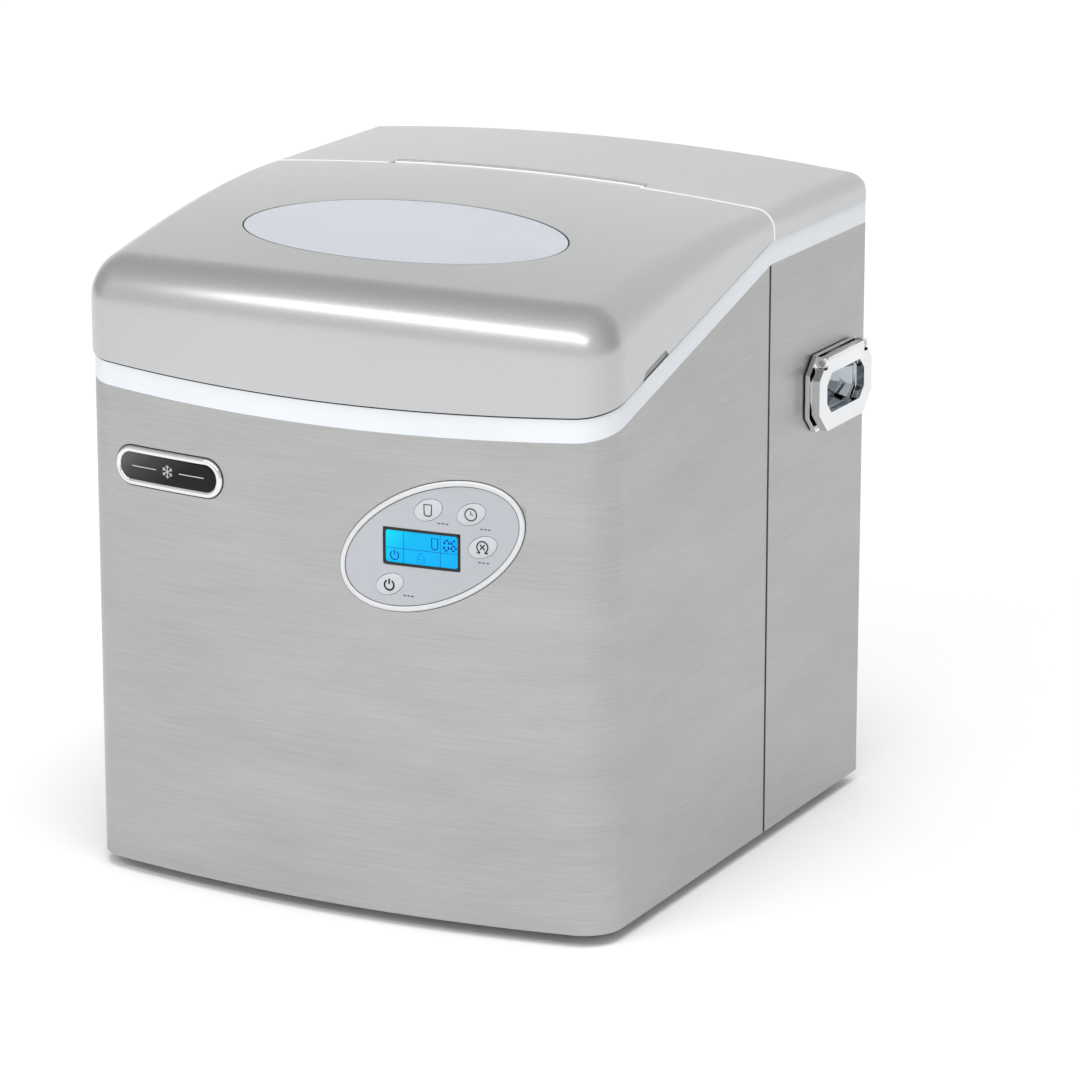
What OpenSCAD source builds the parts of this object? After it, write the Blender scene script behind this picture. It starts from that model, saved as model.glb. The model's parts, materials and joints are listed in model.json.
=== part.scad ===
// Countertop ice maker: bowed stainless body, sloping rim, hinged plastic lid over the ice bin,
// and the freezing works behind and above the bin. The front faces -Y and the floor is z = 0.

/* [Body] */
// Width of the metal body
body_w = 362; // [340:2:380]
// Distance from the floor to the crown of the rear cover
top_z = 421; // [417:1:425]
// How far the middle of the front stands ahead of its corners
bow_sag = 19.5; // [16:0.5:22]
// Radius of the two upright front corners
corner_r = 26; // [20:1:32]
// Sheet thickness of the metal panels
sheet_t = 1.2; // [1:0.1:1.5]
// Gap under the body, held by the feet
foot_h = 8; // [6:1:10]

/* [Rim] */
// Height of the underside of the white rim at the very front
rim_front_z = 309.5; // [304:0.5:314]
// Height of the underside of the white rim behind the lid
rim_rear_z = 379; // [376:0.5:382]
// Height of the white rim
rim_h = 14.5; // [13:0.5:16]

/* [Lid] */
// Radius of the rolled front edge of the lid
roll_r = 32; // [26:1:36]
// Wall thickness of the lid and of the rear cover
lid_t = 2.5; // [2:0.1:3]
// Half length of the oval window
window_a = 110; // [95:1:115]
// Half depth of the oval window
window_b = 54; // [45:1:56]

/* [Controls] */
// Half length of the oval control bezel
bezel_a = 64.3; // [62:0.1:66]
// Half height of the oval control bezel
bezel_b = 36.4; // [35:0.1:38]
// Tilt of the oval control bezel
bezel_tilt = 24.9; // [23:0.1:27]
// Travel of the four buttons
button_travel = 0.6; // [0.4:0.1:0.8]

/* [Ice bin] */
// Height of the floor of the water reservoir
tub_floor_z = 88; // [86:1:92]
// Height of the underside of the ice basket
basket_z = 158; // [156:1:162]
// Number of freezing fingers
finger_count = 9; // [7:1:9]

/* [Hidden] */
$fn = 48;
half_w = body_w / 2;
front_y = -200;
rear_y = 190;
reach_y = 201.5;
seam_y = 45;
overhang = 1.5;
bow_r = (half_w * half_w + bow_sag * bow_sag) / (2 * bow_sag);
bow_cy = front_y + bow_r;
rim_slope = (rim_rear_z - rim_front_z) / (seam_y - front_y);
seam_gap = 0.6;
lid_gap = 0.5;

// The lid's top is one wide arc in side view, which a smaller roll joins to its upright front
lid_r = 1077;
roll_cy = front_y - overhang + roll_r;
roll_cz = top_z - lid_r + sqrt(pow(lid_r - roll_r, 2) - pow(seam_y - roll_cy, 2));
roll_a = asin((seam_y - roll_cy) / (lid_r - roll_r));
// In front view the top is crowned, with rounded shoulders
crown_r = 1849;
shoulder_r = 12;
window_y = -98;

// Lid hinge: a barrel on the lid turns in a pocket of the rear cover
hinge_y = seam_y + 6;
hinge_z = top_z - 8;
barrel_r = 6;
barrel_half = 89.5;
pin_r = 2;
run = 0.05;

// Side handles
handle_y = 138;
handle_z = 283;
handle_l = 82;
handle_h = 50;
bail_pivot_z = handle_z + 21;
bail_pivot_x = half_w + 8.4;
bail_bar_half = 29;

// Controls, as arc length along the bow and height
bezel_arc = 71.2;
bezel_z = 243;
lcd_arc = 65.3;
lcd_z = 240.8;
lcd_w = 50.6;
lcd_h = 23.3;
badge_arc = -114;
badge_z = 266;
button_a = 9.6;
button_b = 6.2;
// Buttons as [arc length, height], in the order select, timer, clean, power
button_places = [[70, 265.5], [97.6, 265.5], [104.9, 245.9], [44.3, 216.9]];
// Depth of the switches behind the buttons, and of the front of the board that carries them
switch_d = -5;
board_d = -7.4;
ring_w = 3.4;
badge_w = 83;
badge_h = 25;
badge_ring = 4;

// Ice bin and freezing works
tub_half = 143;
tub_front = -173;
tub_rear = 35;
tub_t = 3;
tray_z = 316;
tray_r = 22;
axle_r = 3;
finger_r = 6.5;
header_z = tray_z + 36;
hose_r = 4;
hose_y = -36;
hose_z = rim_z(hose_y) - 8;
suction_r = 3.5;
suction_x = -90;
capillary_r = 1.5;
capillary_x = -15;
coil_y = 159;
finger_pitch = 24;
rake_y = 24;
rake_z = 280;
rake_r = 2.5;
float_x = 112;
float_y = 8;
float_post_r = 3;
pump_x = 100;
pump_y = -90;
basket_half = 121;
basket_rear = -33;
basket_h = 84;
hole_pitch = 24;

// Machine compartment
fan_x = 78;
fan_z = 92;
fan_r = 52;
comp_x = -95;
comp_y = 115;
drain_x = -16;
drain_z = 40;
gland_x = -140;
gland_z = 45;
foot_x = 153;
foot_ys = [-150, 155];
screw_r = 1.6;

// ---- outlines ----

function arc(cx, cy, r, from, to, n) =
    [for (i = [0:n]) let (a = from + (to - from) * i / n) [cx + r * cos(a), cy + r * sin(a)]];

// Plan of the bowed body, grown outwards by g and ending at the given rear line
function plan(g, rear) =
    let (xc = half_w - corner_r,
         reach = bow_r - corner_r,
         yc = bow_cy - sqrt(reach * reach - xc * xc),
         a = asin(xc / reach))
    concat(arc(-xc, yc, corner_r + g, 180, 270 - a, 8),
           arc(0, bow_cy, bow_r + g, 270 - a, 270 + a, 24),
           arc(xc, yc, corner_r + g, 270 + a, 360, 8),
           [[half_w + g, rear], [-half_w - g, rear]]);

// Underside of the rim in side view
function rim_z(y) = y < seam_y ? rim_front_z + (y - front_y) * rim_slope : rim_rear_z;

// Side view of the lid's outer face, grown by g, closed along the line of the rim
function lid_side(g, rear, lift) =
    concat([[front_y - overhang - g, rim_z(front_y - overhang - g) + lift]],
           arc(roll_cy, roll_cz, roll_r + g, 180, 90 + roll_a, 10),
           arc(seam_y, top_z - lid_r, lid_r + g, 90 + roll_a, 90, 12),
           [[rear, top_z + g], [rear, rim_z(rear) + lift]]);

// Front view of the crowned top, its crown at height 0
function crown(g) =
    let (xc = half_w + overhang - shoulder_r,
         reach = crown_r - shoulder_r,
         yc = -crown_r + sqrt(reach * reach - xc * xc),
         a = asin(xc / reach))
    concat([[-xc - shoulder_r - g, -110]],
           arc(-xc, yc, shoulder_r + g, 180, 90 + a, 6),
           arc(0, -crown_r, crown_r + g, 90 + a, 90 - a, 16),
           arc(xc, yc, shoulder_r + g, 90 - a, 0, 6),
           [[xc + shoulder_r + g, -110]]);

function ellipse(a, b, n) = [for (i = [0:n - 1]) [a * cos(i * 360 / n), b * sin(i * 360 / n)]];

function stadium(w, h) = concat(arc(w / 2 - h / 2, 0, h / 2, -90, 90, 12),
                                arc(h / 2 - w / 2, 0, h / 2, 90, 270, 12));

function rounded(w, h, r) = concat(arc(w / 2 - r, h / 2 - r, r, 0, 90, 5),
                                   arc(r - w / 2, h / 2 - r, r, 90, 180, 5),
                                   arc(r - w / 2, r - h / 2, r, 180, 270, 5),
                                   arc(w / 2 - r, r - h / 2, r, 270, 360, 5));

// Long octagon of the side handles
function octagon(l, h, cut) =
    [[l / 2, h / 2 - cut], [l / 2 - cut, h / 2], [cut - l / 2, h / 2], [-l / 2, h / 2 - cut],
     [-l / 2, cut - h / 2], [cut - l / 2, -h / 2], [l / 2 - cut, -h / 2], [l / 2, cut - h / 2]];

// ---- shared shapes ----

module box(low, high) {
    translate(low) cube(high - low);
}

// Extrudes a side view (y, z) along X, over -w to w
module across(w) {
    translate([-w, 0, 0]) rotate([90, 0, 90]) linear_extrude(2 * w) children();
}

// Extrudes a front view (x, z) along Y, from y0 to y1
module along_y(y0, y1) {
    translate([0, y1, 0]) rotate([90, 0, 0]) linear_extrude(y1 - y0) children();
}

module rod_x(r, x0, x1, y, z) {
    translate([x0, y, z]) rotate([0, 90, 0]) cylinder(r = r, h = x1 - x0);
}

module rod_y(r, x, y0, y1, z) {
    translate([x, y0, z]) rotate([-90, 0, 0]) cylinder(r = r, h = y1 - y0);
}

module lid_body(g, rear, lift) {
    intersection() {
        translate([0, 0, 280]) linear_extrude(180) polygon(plan(overhang + g, rear));
        across(half_w + 20) polygon(lid_side(g, rear, lift));
        for_crowns(g);
    }
}

// Crowned bars that touch the lid's wide arc at three places along it
module for_crowns(g) {
    intersection_for (t = [1.5, 5.5, 9.5])
        translate([0, seam_y - lid_r * sin(t), top_z - lid_r * (1 - cos(t))])
            rotate([t, 0, 0]) along_y(-300, 300) polygon(crown(g));
}

// Places a front-view outline on the bow, between two depths measured out from the metal
module on_bow(arc_x, z, d0, d1) {
    translate([0, bow_cy, 0]) rotate([0, 0, arc_x / bow_r * 180 / PI]) translate([0, -bow_cy, 0])
        intersection() {
            translate([0, bow_cy, z - 60]) difference() {
                cylinder(r = bow_r + d1, h = 120, $fn = 360);
                translate([0, 0, -1]) cylinder(r = bow_r + d0, h = 122, $fn = 360);
            }
            translate([0, 0, z]) along_y(front_y - 12, front_y + 12) children();
        }
}

// A round tube through a list of points, with ball corners
module pipe(points, r) {
    for (i = [0:len(points) - 2]) {
        d = points[i + 1] - points[i];
        l = norm(d);
        translate(points[i]) rotate([0, acos(d[2] / l), atan2(d[1], d[0])]) cylinder(r = r, h = l);
    }
    for (i = [1:1:len(points) - 2]) translate(points[i]) sphere(r = r);
}

// ---- outer panels ----

module front_shell() {
    color("silver") difference() {
        intersection() {
            translate([0, 0, foot_h]) linear_extrude(400) difference() {
                polygon(plan(0, seam_y - seam_gap / 2));
                polygon(plan(-sheet_t, seam_y + 10));
            }
            across(half_w + 10) polygon([[front_y - 5, foot_h], [seam_y, foot_h],
                [seam_y, rim_z(seam_y)], [front_y - 5, rim_z(front_y - 5)]]);
        }
        on_bow(bezel_arc, bezel_z, -6, 6) rotate(bezel_tilt)
            polygon(ellipse(bezel_a - 1.8, bezel_b - 1.8, 72));
    }
}

module side_panel() {
    difference() {
        box([half_w - sheet_t, seam_y + seam_gap / 2, foot_h], [half_w, rear_y, rim_rear_z]);
        handle_cutout();
    }
}

module handle_cutout() {
    translate([half_w, handle_y, handle_z]) rotate([90, 0, 90])
        translate([0, 0, -30]) linear_extrude(60) polygon(octagon(62, 32, 8));
}

module right_side_panel() {
    color("silver") side_panel();
}

module left_side_panel() {
    color("silver") difference() {
        mirror([1, 0, 0]) side_panel();
        for (i = [0:9])
            box([-half_w - 1, 66, 48 + i * 12], [-half_w + 2, 166, 52 + i * 12]);
    }
}

module back_panel() {
    color("gainsboro") difference() {
        box([sheet_t - half_w, rear_y - sheet_t, foot_h], [half_w - sheet_t, rear_y, rim_rear_z]);
        for (i = [0:11])
            box([14, rear_y - 3, 34 + i * 11], [142, rear_y + 1, 38 + i * 11]);
        for (i = [0:5], x = [-120, 60])
            box([x, rear_y - 3, 290 + i * 11], [x + 60, rear_y + 1, 294 + i * 11]);
        rod_y(8, drain_x, rear_y - 5, rear_y + 5, drain_z);
        rod_y(7, gland_x, rear_y - 5, rear_y + 5, gland_z);
        for (p = screw_places()) rod_y(screw_r, p[0], rear_y - 5, rear_y + 5, p[1]);
    }
}

function screw_places() =
    concat([for (x = [-170, 170], z = [24, 190, 360]) [x, z]], [[0, 24], [0, 360]]);

module back_screws() {
    color("dimgray") for (p = screw_places()) {
        rod_y(screw_r, p[0], rear_y - 6, rear_y + 0.5, p[1]);
        difference() {
            rod_y(3.6, p[0], rear_y, rear_y + 2, p[1]);
            box([p[0] - 2.5, rear_y + 1.2, p[1] - 0.5], [p[0] + 2.5, rear_y + 3, p[1] + 0.5]);
            box([p[0] - 0.5, rear_y + 1.2, p[1] - 2.5], [p[0] + 0.5, rear_y + 3, p[1] + 2.5]);
        }
    }
}

module base_pan() {
    wall = sheet_t + 0.2;
    color("darkgray") difference() {
        translate([0, 0, foot_h]) linear_extrude(14) polygon(plan(-wall, rear_y - wall));
        translate([0, 0, foot_h + 1.5]) linear_extrude(14)
            polygon(plan(-wall - 1.2, rear_y - wall - 1.2));
        for (x = [-1, 1], y = foot_ys) translate([x * foot_x, y, 0]) cylinder(r = 4, h = 30);
    }
}

module foot(x, y) {
    color("black") translate([x, y, 0]) {
        rotate_extrude() polygon([[0, 0], [13, 0], [15, 2], [15, foot_h], [0, foot_h]]);
        translate([0, 0, foot_h]) cylinder(r = 4, h = 1.5);
        translate([0, 0, foot_h + 1.5]) cylinder(r1 = 6, r2 = 4, h = 3);
    }
}

module front_left_foot() foot(-foot_x, foot_ys[0]);
module front_right_foot() foot(foot_x, foot_ys[0]);
module rear_left_foot() foot(-foot_x, foot_ys[1]);
module rear_right_foot() foot(foot_x, foot_ys[1]);

// ---- rim, cover and lid ----

module rim_frame() {
    color("white") difference() {
        intersection() {
            translate([0, 0, 290]) linear_extrude(130) polygon(plan(0, rear_y));
            across(half_w + 10) polygon([
                [front_y - 5, rim_z(front_y - 5)], [seam_y, rim_rear_z], [rear_y, rim_rear_z],
                [rear_y, rim_rear_z + rim_h], [seam_y, rim_rear_z + rim_h],
                [front_y - 5, rim_z(front_y - 5) + rim_h]]);
        }
        box([-tub_half, tub_front, 280], [tub_half, tub_rear, 420]);
        box([14 - half_w, 52, 280], [half_w - 14, rear_y - 12, 420]);
    }
}

module rear_cover() {
    low = rim_rear_z + rim_h;
    color("silver") difference() {
        cover_body(0, seam_y + 0.5, low);
        difference() {
            cover_body(-lid_t, seam_y + 0.5 + lid_t, low - 5);
            box([-barrel_half - 8, seam_y, hinge_z - 12], [barrel_half + 8, hinge_y + 11, 430]);
        }
        box([-barrel_half - 0.5, seam_y, hinge_z - 9],
            [barrel_half + 0.5, hinge_y + 7.5, 430]);
        rod_x(pin_r, -barrel_half - 6, barrel_half + 6, hinge_y, hinge_z);
    }
}

module cover_body(g, front, low) {
    intersection() {
        box([-250, front, low], [250, rear_y + overhang + g, 440]);
        translate([0, 0, top_z]) along_y(front, rear_y + overhang + g) polygon(crown(g));
        across(half_w + 10) polygon(concat([[front, low], [rear_y + overhang + g, low]],
            arc(rear_y + overhang - shoulder_r, top_z - shoulder_r, shoulder_r + g, 0, 90, 6),
            [[front, top_z + g]]));
    }
}

module window_hole(grow) {
    translate([0, window_y, 300]) linear_extrude(150)
        polygon(ellipse(window_a + grow, window_b + grow, 72));
}

// Hollows behind the lid's rear edge, which let it swing past the front edge of the rear cover
module swing_relief() {
    for (s = [0, 1]) mirror([s, 0, 0]) translate([barrel_half - 1.5, hinge_y, hinge_z])
        rotate([0, 90, 0]) cylinder(r1 = 8.3, r2 = 6.2, h = 62);
}

module lid() {
    notch_y = -121;
    color("silver") {
        difference() {
            lid_body(0, seam_y - 0.1, rim_h + lid_gap);
            lid_body(-lid_t, seam_y - 0.1 - lid_t, -40);
            window_hole(0);
            swing_relief();
            translate([half_w - 6, notch_y - 17, rim_z(notch_y) + rim_h + lid_gap])
                rotate([atan(rim_slope), 0, 0]) translate([0, 0, -2]) cube([12, 34, 7]);
        }
        difference() {
            union() {
                rod_x(barrel_r, -barrel_half, barrel_half, hinge_y, hinge_z);
                box([-barrel_half, seam_y - lid_t, hinge_z - 5],
                    [barrel_half, hinge_y, hinge_z + barrel_r]);
            }
            rod_x(pin_r + run, -barrel_half - 1, barrel_half + 1, hinge_y, hinge_z);
        }
    }
}

module lid_liner() {
    lift = rim_h + lid_gap + 1;
    color("white") difference() {
        union() {
            intersection() {
                lid_body(-lid_t - 0.3, seam_y - lid_t - 0.5, lift);
                across(half_w) polygon([
                    [front_y - 5, rim_z(front_y - 5) + lift], [seam_y, rim_rear_z + lift],
                    [seam_y, rim_rear_z + lift + lid_t],
                    [front_y - 5, rim_z(front_y - 5) + lift + lid_t]]);
            }
            intersection() {
                lid_body(-lid_t - 0.3, seam_y - lid_t - 0.5, lift);
                window_hole(3);
            }
        }
        window_hole(0.6);
    }
}

module lid_window() {
    color("lightsteelblue", 0.6) intersection() {
        difference() {
            lid_body(-0.2, seam_y - 1, rim_h);
            lid_body(-lid_t - 0.2, seam_y - 1, rim_h - 40);
        }
        window_hole(-0.3);
    }
}

module hinge_pin() {
    color("dimgray") rod_x(pin_r, -barrel_half - 6, barrel_half + 6, hinge_y, hinge_z);
}

// ---- controls and badge ----

module control_bezel() {
    color("gainsboro") {
        on_bow(bezel_arc, bezel_z, 0, 1.4) oval_ring(0);
        on_bow(bezel_arc, bezel_z, -3, 0) oval_ring(1.9);
    }
}

module oval_ring(step) {
    rotate(bezel_tilt) difference() {
        polygon(ellipse(bezel_a - step, bezel_b - step, 72));
        polygon(ellipse(bezel_a - ring_w, bezel_b - ring_w, 72));
    }
}

module control_panel() {
    color("lightgray") difference() {
        on_bow(bezel_arc, bezel_z, -2.5, 0.6) rotate(bezel_tilt)
            polygon(ellipse(bezel_a - ring_w, bezel_b - ring_w, 72));
        on_bow(lcd_arc, lcd_z, -4, 4) square([lcd_w, lcd_h], center = true);
        for (p = button_places) on_bow(p[0], p[1], -4, 4) button_outline(0.25);
    }
}

module button_outline(grow) {
    rotate(bezel_tilt) polygon(ellipse(button_a + grow, button_b + grow, 36));
}

module button(p) {
    color("white") {
        on_bow(p[0], p[1], -2, 1.3) button_outline(0);
        on_bow(p[0], p[1], switch_d + 0.4 + button_travel, -2) square(4, center = true);
    }
}

module select_button() button(button_places[0]);
module timer_button() button(button_places[1]);
module clean_button() button(button_places[2]);
module power_button() button(button_places[3]);

// Edge of the glass inside the black frame
module glass_outline() {
    border = 1.7;
    polygon(rounded(lcd_w - 2 * border, lcd_h - 2 * border, 1.5));
}

module lcd_frame() {
    color("black") on_bow(lcd_arc, lcd_z, -2, 0.9) difference() {
        polygon(rounded(lcd_w, lcd_h, 2.5));
        glass_outline();
    }
}

module lcd_display() {
    color("deepskyblue") on_bow(lcd_arc, lcd_z, -3, 0.3) glass_outline();
}

module display_board() {
    color("darkgreen") {
        on_bow(bezel_arc, bezel_z, board_d - 1.6, board_d) square([96, 58], center = true);
        for (p = button_places)
            on_bow(p[0], p[1], board_d - 0.5, switch_d) square(6, center = true);
    }
}

module badge_frame() {
    color("gainsboro") on_bow(badge_arc, badge_z, 0, 2) difference() {
        polygon(stadium(badge_w, badge_h));
        polygon(stadium(badge_w - 2 * badge_ring, badge_h - 2 * badge_ring));
    }
}

module badge_plate() {
    color("black") on_bow(badge_arc, badge_z, 0, 1.2)
        polygon(stadium(badge_w - 2 * badge_ring, badge_h - 2 * badge_ring));
}

// ---- side handles ----

// Puts a shape drawn for the right handle, x measured out from the metal, on the right side
module at_right() {
    translate([half_w, handle_y, handle_z]) children();
}

module at_left() {
    mirror([1, 0, 0]) at_right() children();
}

// Extrudes a side outline (y, z) along X, from x0 to x1
module along_x(x0, x1) {
    translate([x0, 0, 0]) rotate([90, 0, 90]) linear_extrude(x1 - x0) children();
}

module handle_base() {
    lug = 4;
    lug_y = bail_bar_half + 0.4;
    px = bail_pivot_x - half_w;
    pz = bail_pivot_z - handle_z;
    color("gainsboro") difference() {
        union() {
            along_x(1, 4) polygon(octagon(handle_l, handle_h, 11));
            along_x(-18, 1) polygon(octagon(61, 31, 8));
            for (s = [0, 1]) mirror([0, s, 0]) {
                box([4, lug_y, pz - 3.4], [px, lug_y + lug, pz + 3.4]);
                rod_y(3.4, px, lug_y, lug_y + lug, pz);
            }
        }
        along_x(-16, 5) polygon(octagon(57, 27, 7));
        rod_y(pin_r, px, -lug_y - lug - 1, lug_y + lug + 1, pz);
    }
}

module handle_gasket() {
    color("black") along_x(0, 1) difference() {
        polygon(octagon(handle_l - 3, handle_h - 3, 10));
        polygon(octagon(62, 32, 8));
    }
}

module handle_bail() {
    px = bail_pivot_x - half_w;
    pz = bail_pivot_z - handle_z;
    slot_w = 5.4;
    color("whitesmoke") difference() {
        union() {
            along_x(5.8, 11) difference() {
                polygon(octagon(handle_l, handle_h - 2, 13));
                polygon(octagon(58, 26, 7));
                for (s = [-1, 1]) translate([s * (bail_bar_half + 0.4 + 2) - slot_w / 2, pz - 4.4])
                    square([slot_w, 20]);
            }
            rod_y(3, px, -bail_bar_half, bail_bar_half, pz);
        }
        rod_y(pin_r + run, px, -60, 60, pz);
    }
}

module handle_pin() {
    end = bail_bar_half + 4.4;
    color("dimgray") rod_y(pin_r, bail_pivot_x - half_w, -end, end, bail_pivot_z - handle_z);
}

module left_handle_base() at_left() handle_base();
module left_handle_gasket() at_left() handle_gasket();
module left_handle_bail() at_left() handle_bail();
module left_handle_pin() at_left() handle_pin();
module right_handle_base() at_right() handle_base();
module right_handle_gasket() at_right() handle_gasket();
module right_handle_bail() at_right() handle_bail();
module right_handle_pin() at_right() handle_pin();

// ---- ice bin ----

module inner_tub() {
    top = rim_h - 2;
    color("aliceblue") {
        difference() {
            tub_block(0, tub_floor_z, top);
            tub_block(tub_t, tub_floor_z + tub_t, top + 10);
            rod_x(axle_r + run, -200, 200, 0, tray_z);
            rod_x(rake_r + run, -200, 200, rake_y, rake_z);
            rod_x(hose_r, 120, 200, hose_y, hose_z);
            rod_y(suction_r, suction_x, 20, 50, header_z + 5);
            rod_y(capillary_r, capillary_x, 20, 50, header_z + 5);
            translate([drain_x, 0, 0]) cylinder(r = 5, h = 200);
        }
        ledges();
        ramp();
        float_post();
    }
}

module tub_block(inset, low, lift) {
    across(tub_half - inset) polygon([
        [tub_front + inset, low], [tub_rear - inset, low],
        [tub_rear - inset, rim_z(tub_rear - inset) + lift],
        [tub_front + inset, rim_z(tub_front + inset) + lift]]);
}

// Two rails that carry the basket
module ledges() {
    for (s = [0, 1]) mirror([s, 0, 0])
        box([tub_half - tub_t - 16, tub_front + tub_t, basket_z - 8],
            [tub_half - tub_t, -34, basket_z - 0.4]);
}

// Slope that the fallen cubes slide down to the basket
module ramp() {
    high = rake_z - 25;
    across(tub_half - tub_t) polygon([[tub_rear - tub_t, high], [-29, high - 11],
        [-29, high - 14], [tub_rear - tub_t, high - 3]]);
}

module float_post() {
    translate([float_x, float_y, tub_floor_z + tub_t]) {
        cylinder(r = float_post_r, h = 46);
        translate([0, 0, 46]) cylinder(r = 6, h = 3);
    }
}

module water_float() {
    color("white") translate([float_x, float_y, tub_floor_z + tub_t + 4]) difference() {
        cylinder(r = 12, h = 20);
        translate([0, 0, -1]) cylinder(r = float_post_r + 0.08, h = 22);
    }
}

module ice_basket() {
    y0 = tub_front + tub_t + 4;
    mid_y = (y0 + basket_rear) / 2;
    high = basket_z + basket_h;
    wall = 2.5;
    color("lightcyan") difference() {
        box([-basket_half, y0, basket_z], [basket_half, basket_rear, high]);
        box([wall - basket_half, y0 + wall, basket_z + wall],
            [basket_half - wall, basket_rear - wall, high + 1]);
        for (i = [-4:4], j = [-2:2])
            translate([i * hole_pitch, mid_y + j * hole_pitch, basket_z - 1])
                cylinder(r = 5, h = 5, $fn = 24);
        for (i = [-4:4])
            box([i * hole_pitch - 4, y0 - 1, basket_z + 18],
                [i * hole_pitch + 4, y0 + 4, basket_z + 58]);
        for (s = [0, 1]) mirror([s, 0, 0])
            box([basket_half - 5, mid_y - 40, high - 26], [basket_half + 1, mid_y + 40, high - 8]);
    }
}

module evaporator() {
    last = (finger_count - 1) / 2;
    color("silver") {
        box([-last * finger_pitch - 12, -9, header_z], [last * finger_pitch + 12, 9, header_z + 10]);
        for (i = [-last:last]) translate([i * finger_pitch, 0, 0]) {
            translate([0, 0, tray_z - 7.5]) cylinder(r = finger_r, h = header_z - tray_z + 7.5);
            translate([0, 0, tray_z - 7.5]) sphere(r = finger_r);
        }
        for (x = [-60, 60]) box([x - 6, 9, header_z + 2], [x + 6, tub_rear - tub_t, header_z + 8]);
    }
}

// Trough that pivots about the line of the fingers
module water_tray() {
    half = 112;
    color("white") {
        translate([-half, 0, tray_z]) rotate([90, 0, 90]) linear_extrude(2 * half) polygon(concat(
            arc(0, 0, tray_r + 2, -165, -15, 20), arc(0, 0, tray_r, -15, -165, 20)));
        for (s = [0, 1]) mirror([s, 0, 0]) {
            translate([half, 0, tray_z]) rotate([90, 0, 90]) linear_extrude(2.5)
                polygon(arc(0, 0, tray_r + 3, -200, 20, 22));
            rod_x(axle_r, half + 2.5, s == 0 ? tub_half + 8 : tub_half - 0.5, 0, tray_z);
        }
    }
}

module ice_rake() {
    half = 108;
    color("whitesmoke") {
        rod_x(rake_r, 0.5 - tub_half, tub_half - 0.5, rake_y, rake_z);
        box([-half, rake_y - 1.5, rake_z - 12], [half, rake_y + 1.5, rake_z]);
        for (i = [-4:4])
            box([i * finger_pitch - 9, rake_y - 1.5, rake_z - 22],
                [i * finger_pitch + 9, rake_y + 1.5, rake_z - 12]);
    }
}

module tray_motor() {
    color("dimgray") difference() {
        union() {
            box([tub_half, -24, tray_z - 20], [tub_half + 18, 24, tray_z + 14]);
            translate([tub_half + 18, 0, tray_z - 3]) rotate([0, 90, 0]) cylinder(r = 13, h = 10);
        }
        rod_x(axle_r + run, tub_half - 1, tub_half + 10, 0, tray_z);
    }
}

module ice_sensors() {
    color("black") for (s = [0, 1]) mirror([s, 0, 0]) {
        box([tub_half - tub_t - 6, -52, basket_z + 88], [tub_half - tub_t, -38, basket_z + 102]);
        rod_x(3, tub_half - tub_t - 9, tub_half - tub_t - 6, -45, basket_z + 95);
    }
}

module water_pump() {
    color("black") translate([pump_x, pump_y, tub_floor_z - 40]) {
        cylinder(r = 20, h = 40);
        translate([0, 0, -6]) cylinder(r = 14, h = 6);
        translate([20, 0, 8]) rotate([0, 90, 0]) cylinder(r = 4, h = 8);
    }
}

module water_hose() {
    side = tub_half + 12;
    low = tub_floor_z - 32;
    color("lightgray") pipe([[pump_x + 28, pump_y, low], [side, pump_y, low], [side, hose_y, low],
        [side, hose_y, hose_z], [100, hose_y, hose_z], [100, -14, hose_z]], hose_r);
}

// ---- machine compartment ----

module compressor() {
    color("#202020") translate([comp_x, comp_y, 0]) {
        translate([0, 0, 30]) rotate_extrude() polygon(concat([[0, 0], [44, 0], [56, 12]],
            arc(28, 92, 28, 0, 90, 8), [[0, 120]]));
        for (a = [30, 150, 270]) rotate(a) box([0, -14, 26], [62, 14, 30]);
        translate([0, -50, 96]) rotate([90, 0, 0]) cylinder(r = 12, h = 12);
    }
}

module compressor_grommets() {
    color("black") for (a = [30, 150, 270]) translate([comp_x, comp_y, foot_h + 1.5]) rotate(a)
        translate([54, 0, 0]) cylinder(r = 7, h = 26 - foot_h - 1.5);
}

module condenser() {
    color("darkslategray") {
        for (i = [0:19]) box([8 + i * 7, 142, 26], [9 + i * 7, 176, 162]);
        for (i = [0:5]) rod_x(4, 4, 146, 159, 38 + i * 22);
        for (x = [3, 145]) box([x, 140, 9.5], [x + 1.5, 178, 164]);
    }
}

module fan_shroud() {
    color("black") difference() {
        box([fan_x - 62, 116, foot_h + 1.5], [fan_x + 62, 142, 158]);
        rod_y(fan_r + 4, fan_x, 110, 150, fan_z);
    }
    color("black") for (s = [0, 1]) translate([fan_x, 0, 0]) mirror([s, 0, 0])
        box([16, 108, fan_z - 4], [61, 116, fan_z + 4]);
}

module fan_motor() {
    color("dimgray") difference() {
        rod_y(16, fan_x, 76, 118, fan_z);
        rod_y(2.5 + run, fan_x, 100, 119, fan_z);
    }
}

module fan_blade() {
    color("gray") {
        rod_y(14, fan_x, 119, 133, fan_z);
        rod_y(2.5, fan_x, 101, 119, fan_z);
        for (a = [0:72:359]) translate([fan_x, 126, fan_z]) rotate([0, a, 0])
            rotate([0, 0, 25]) box([-11, -1, 8], [11, 1, fan_r]);
    }
}

module filter_drier() {
    color("peru") translate([capillary_x, coil_y, 0]) {
        translate([0, 0, 200]) cylinder(r = 9, h = 60);
        translate([0, 0, 190]) cylinder(r1 = 3, r2 = 9, h = 10);
        translate([0, 0, 260]) cylinder(r1 = 9, r2 = 3, h = 10);
        pipe([[0, 0, 270], [0, 0, header_z + 5], [0, 9 - coil_y, header_z + 5]], capillary_r);
    }
}

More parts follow.
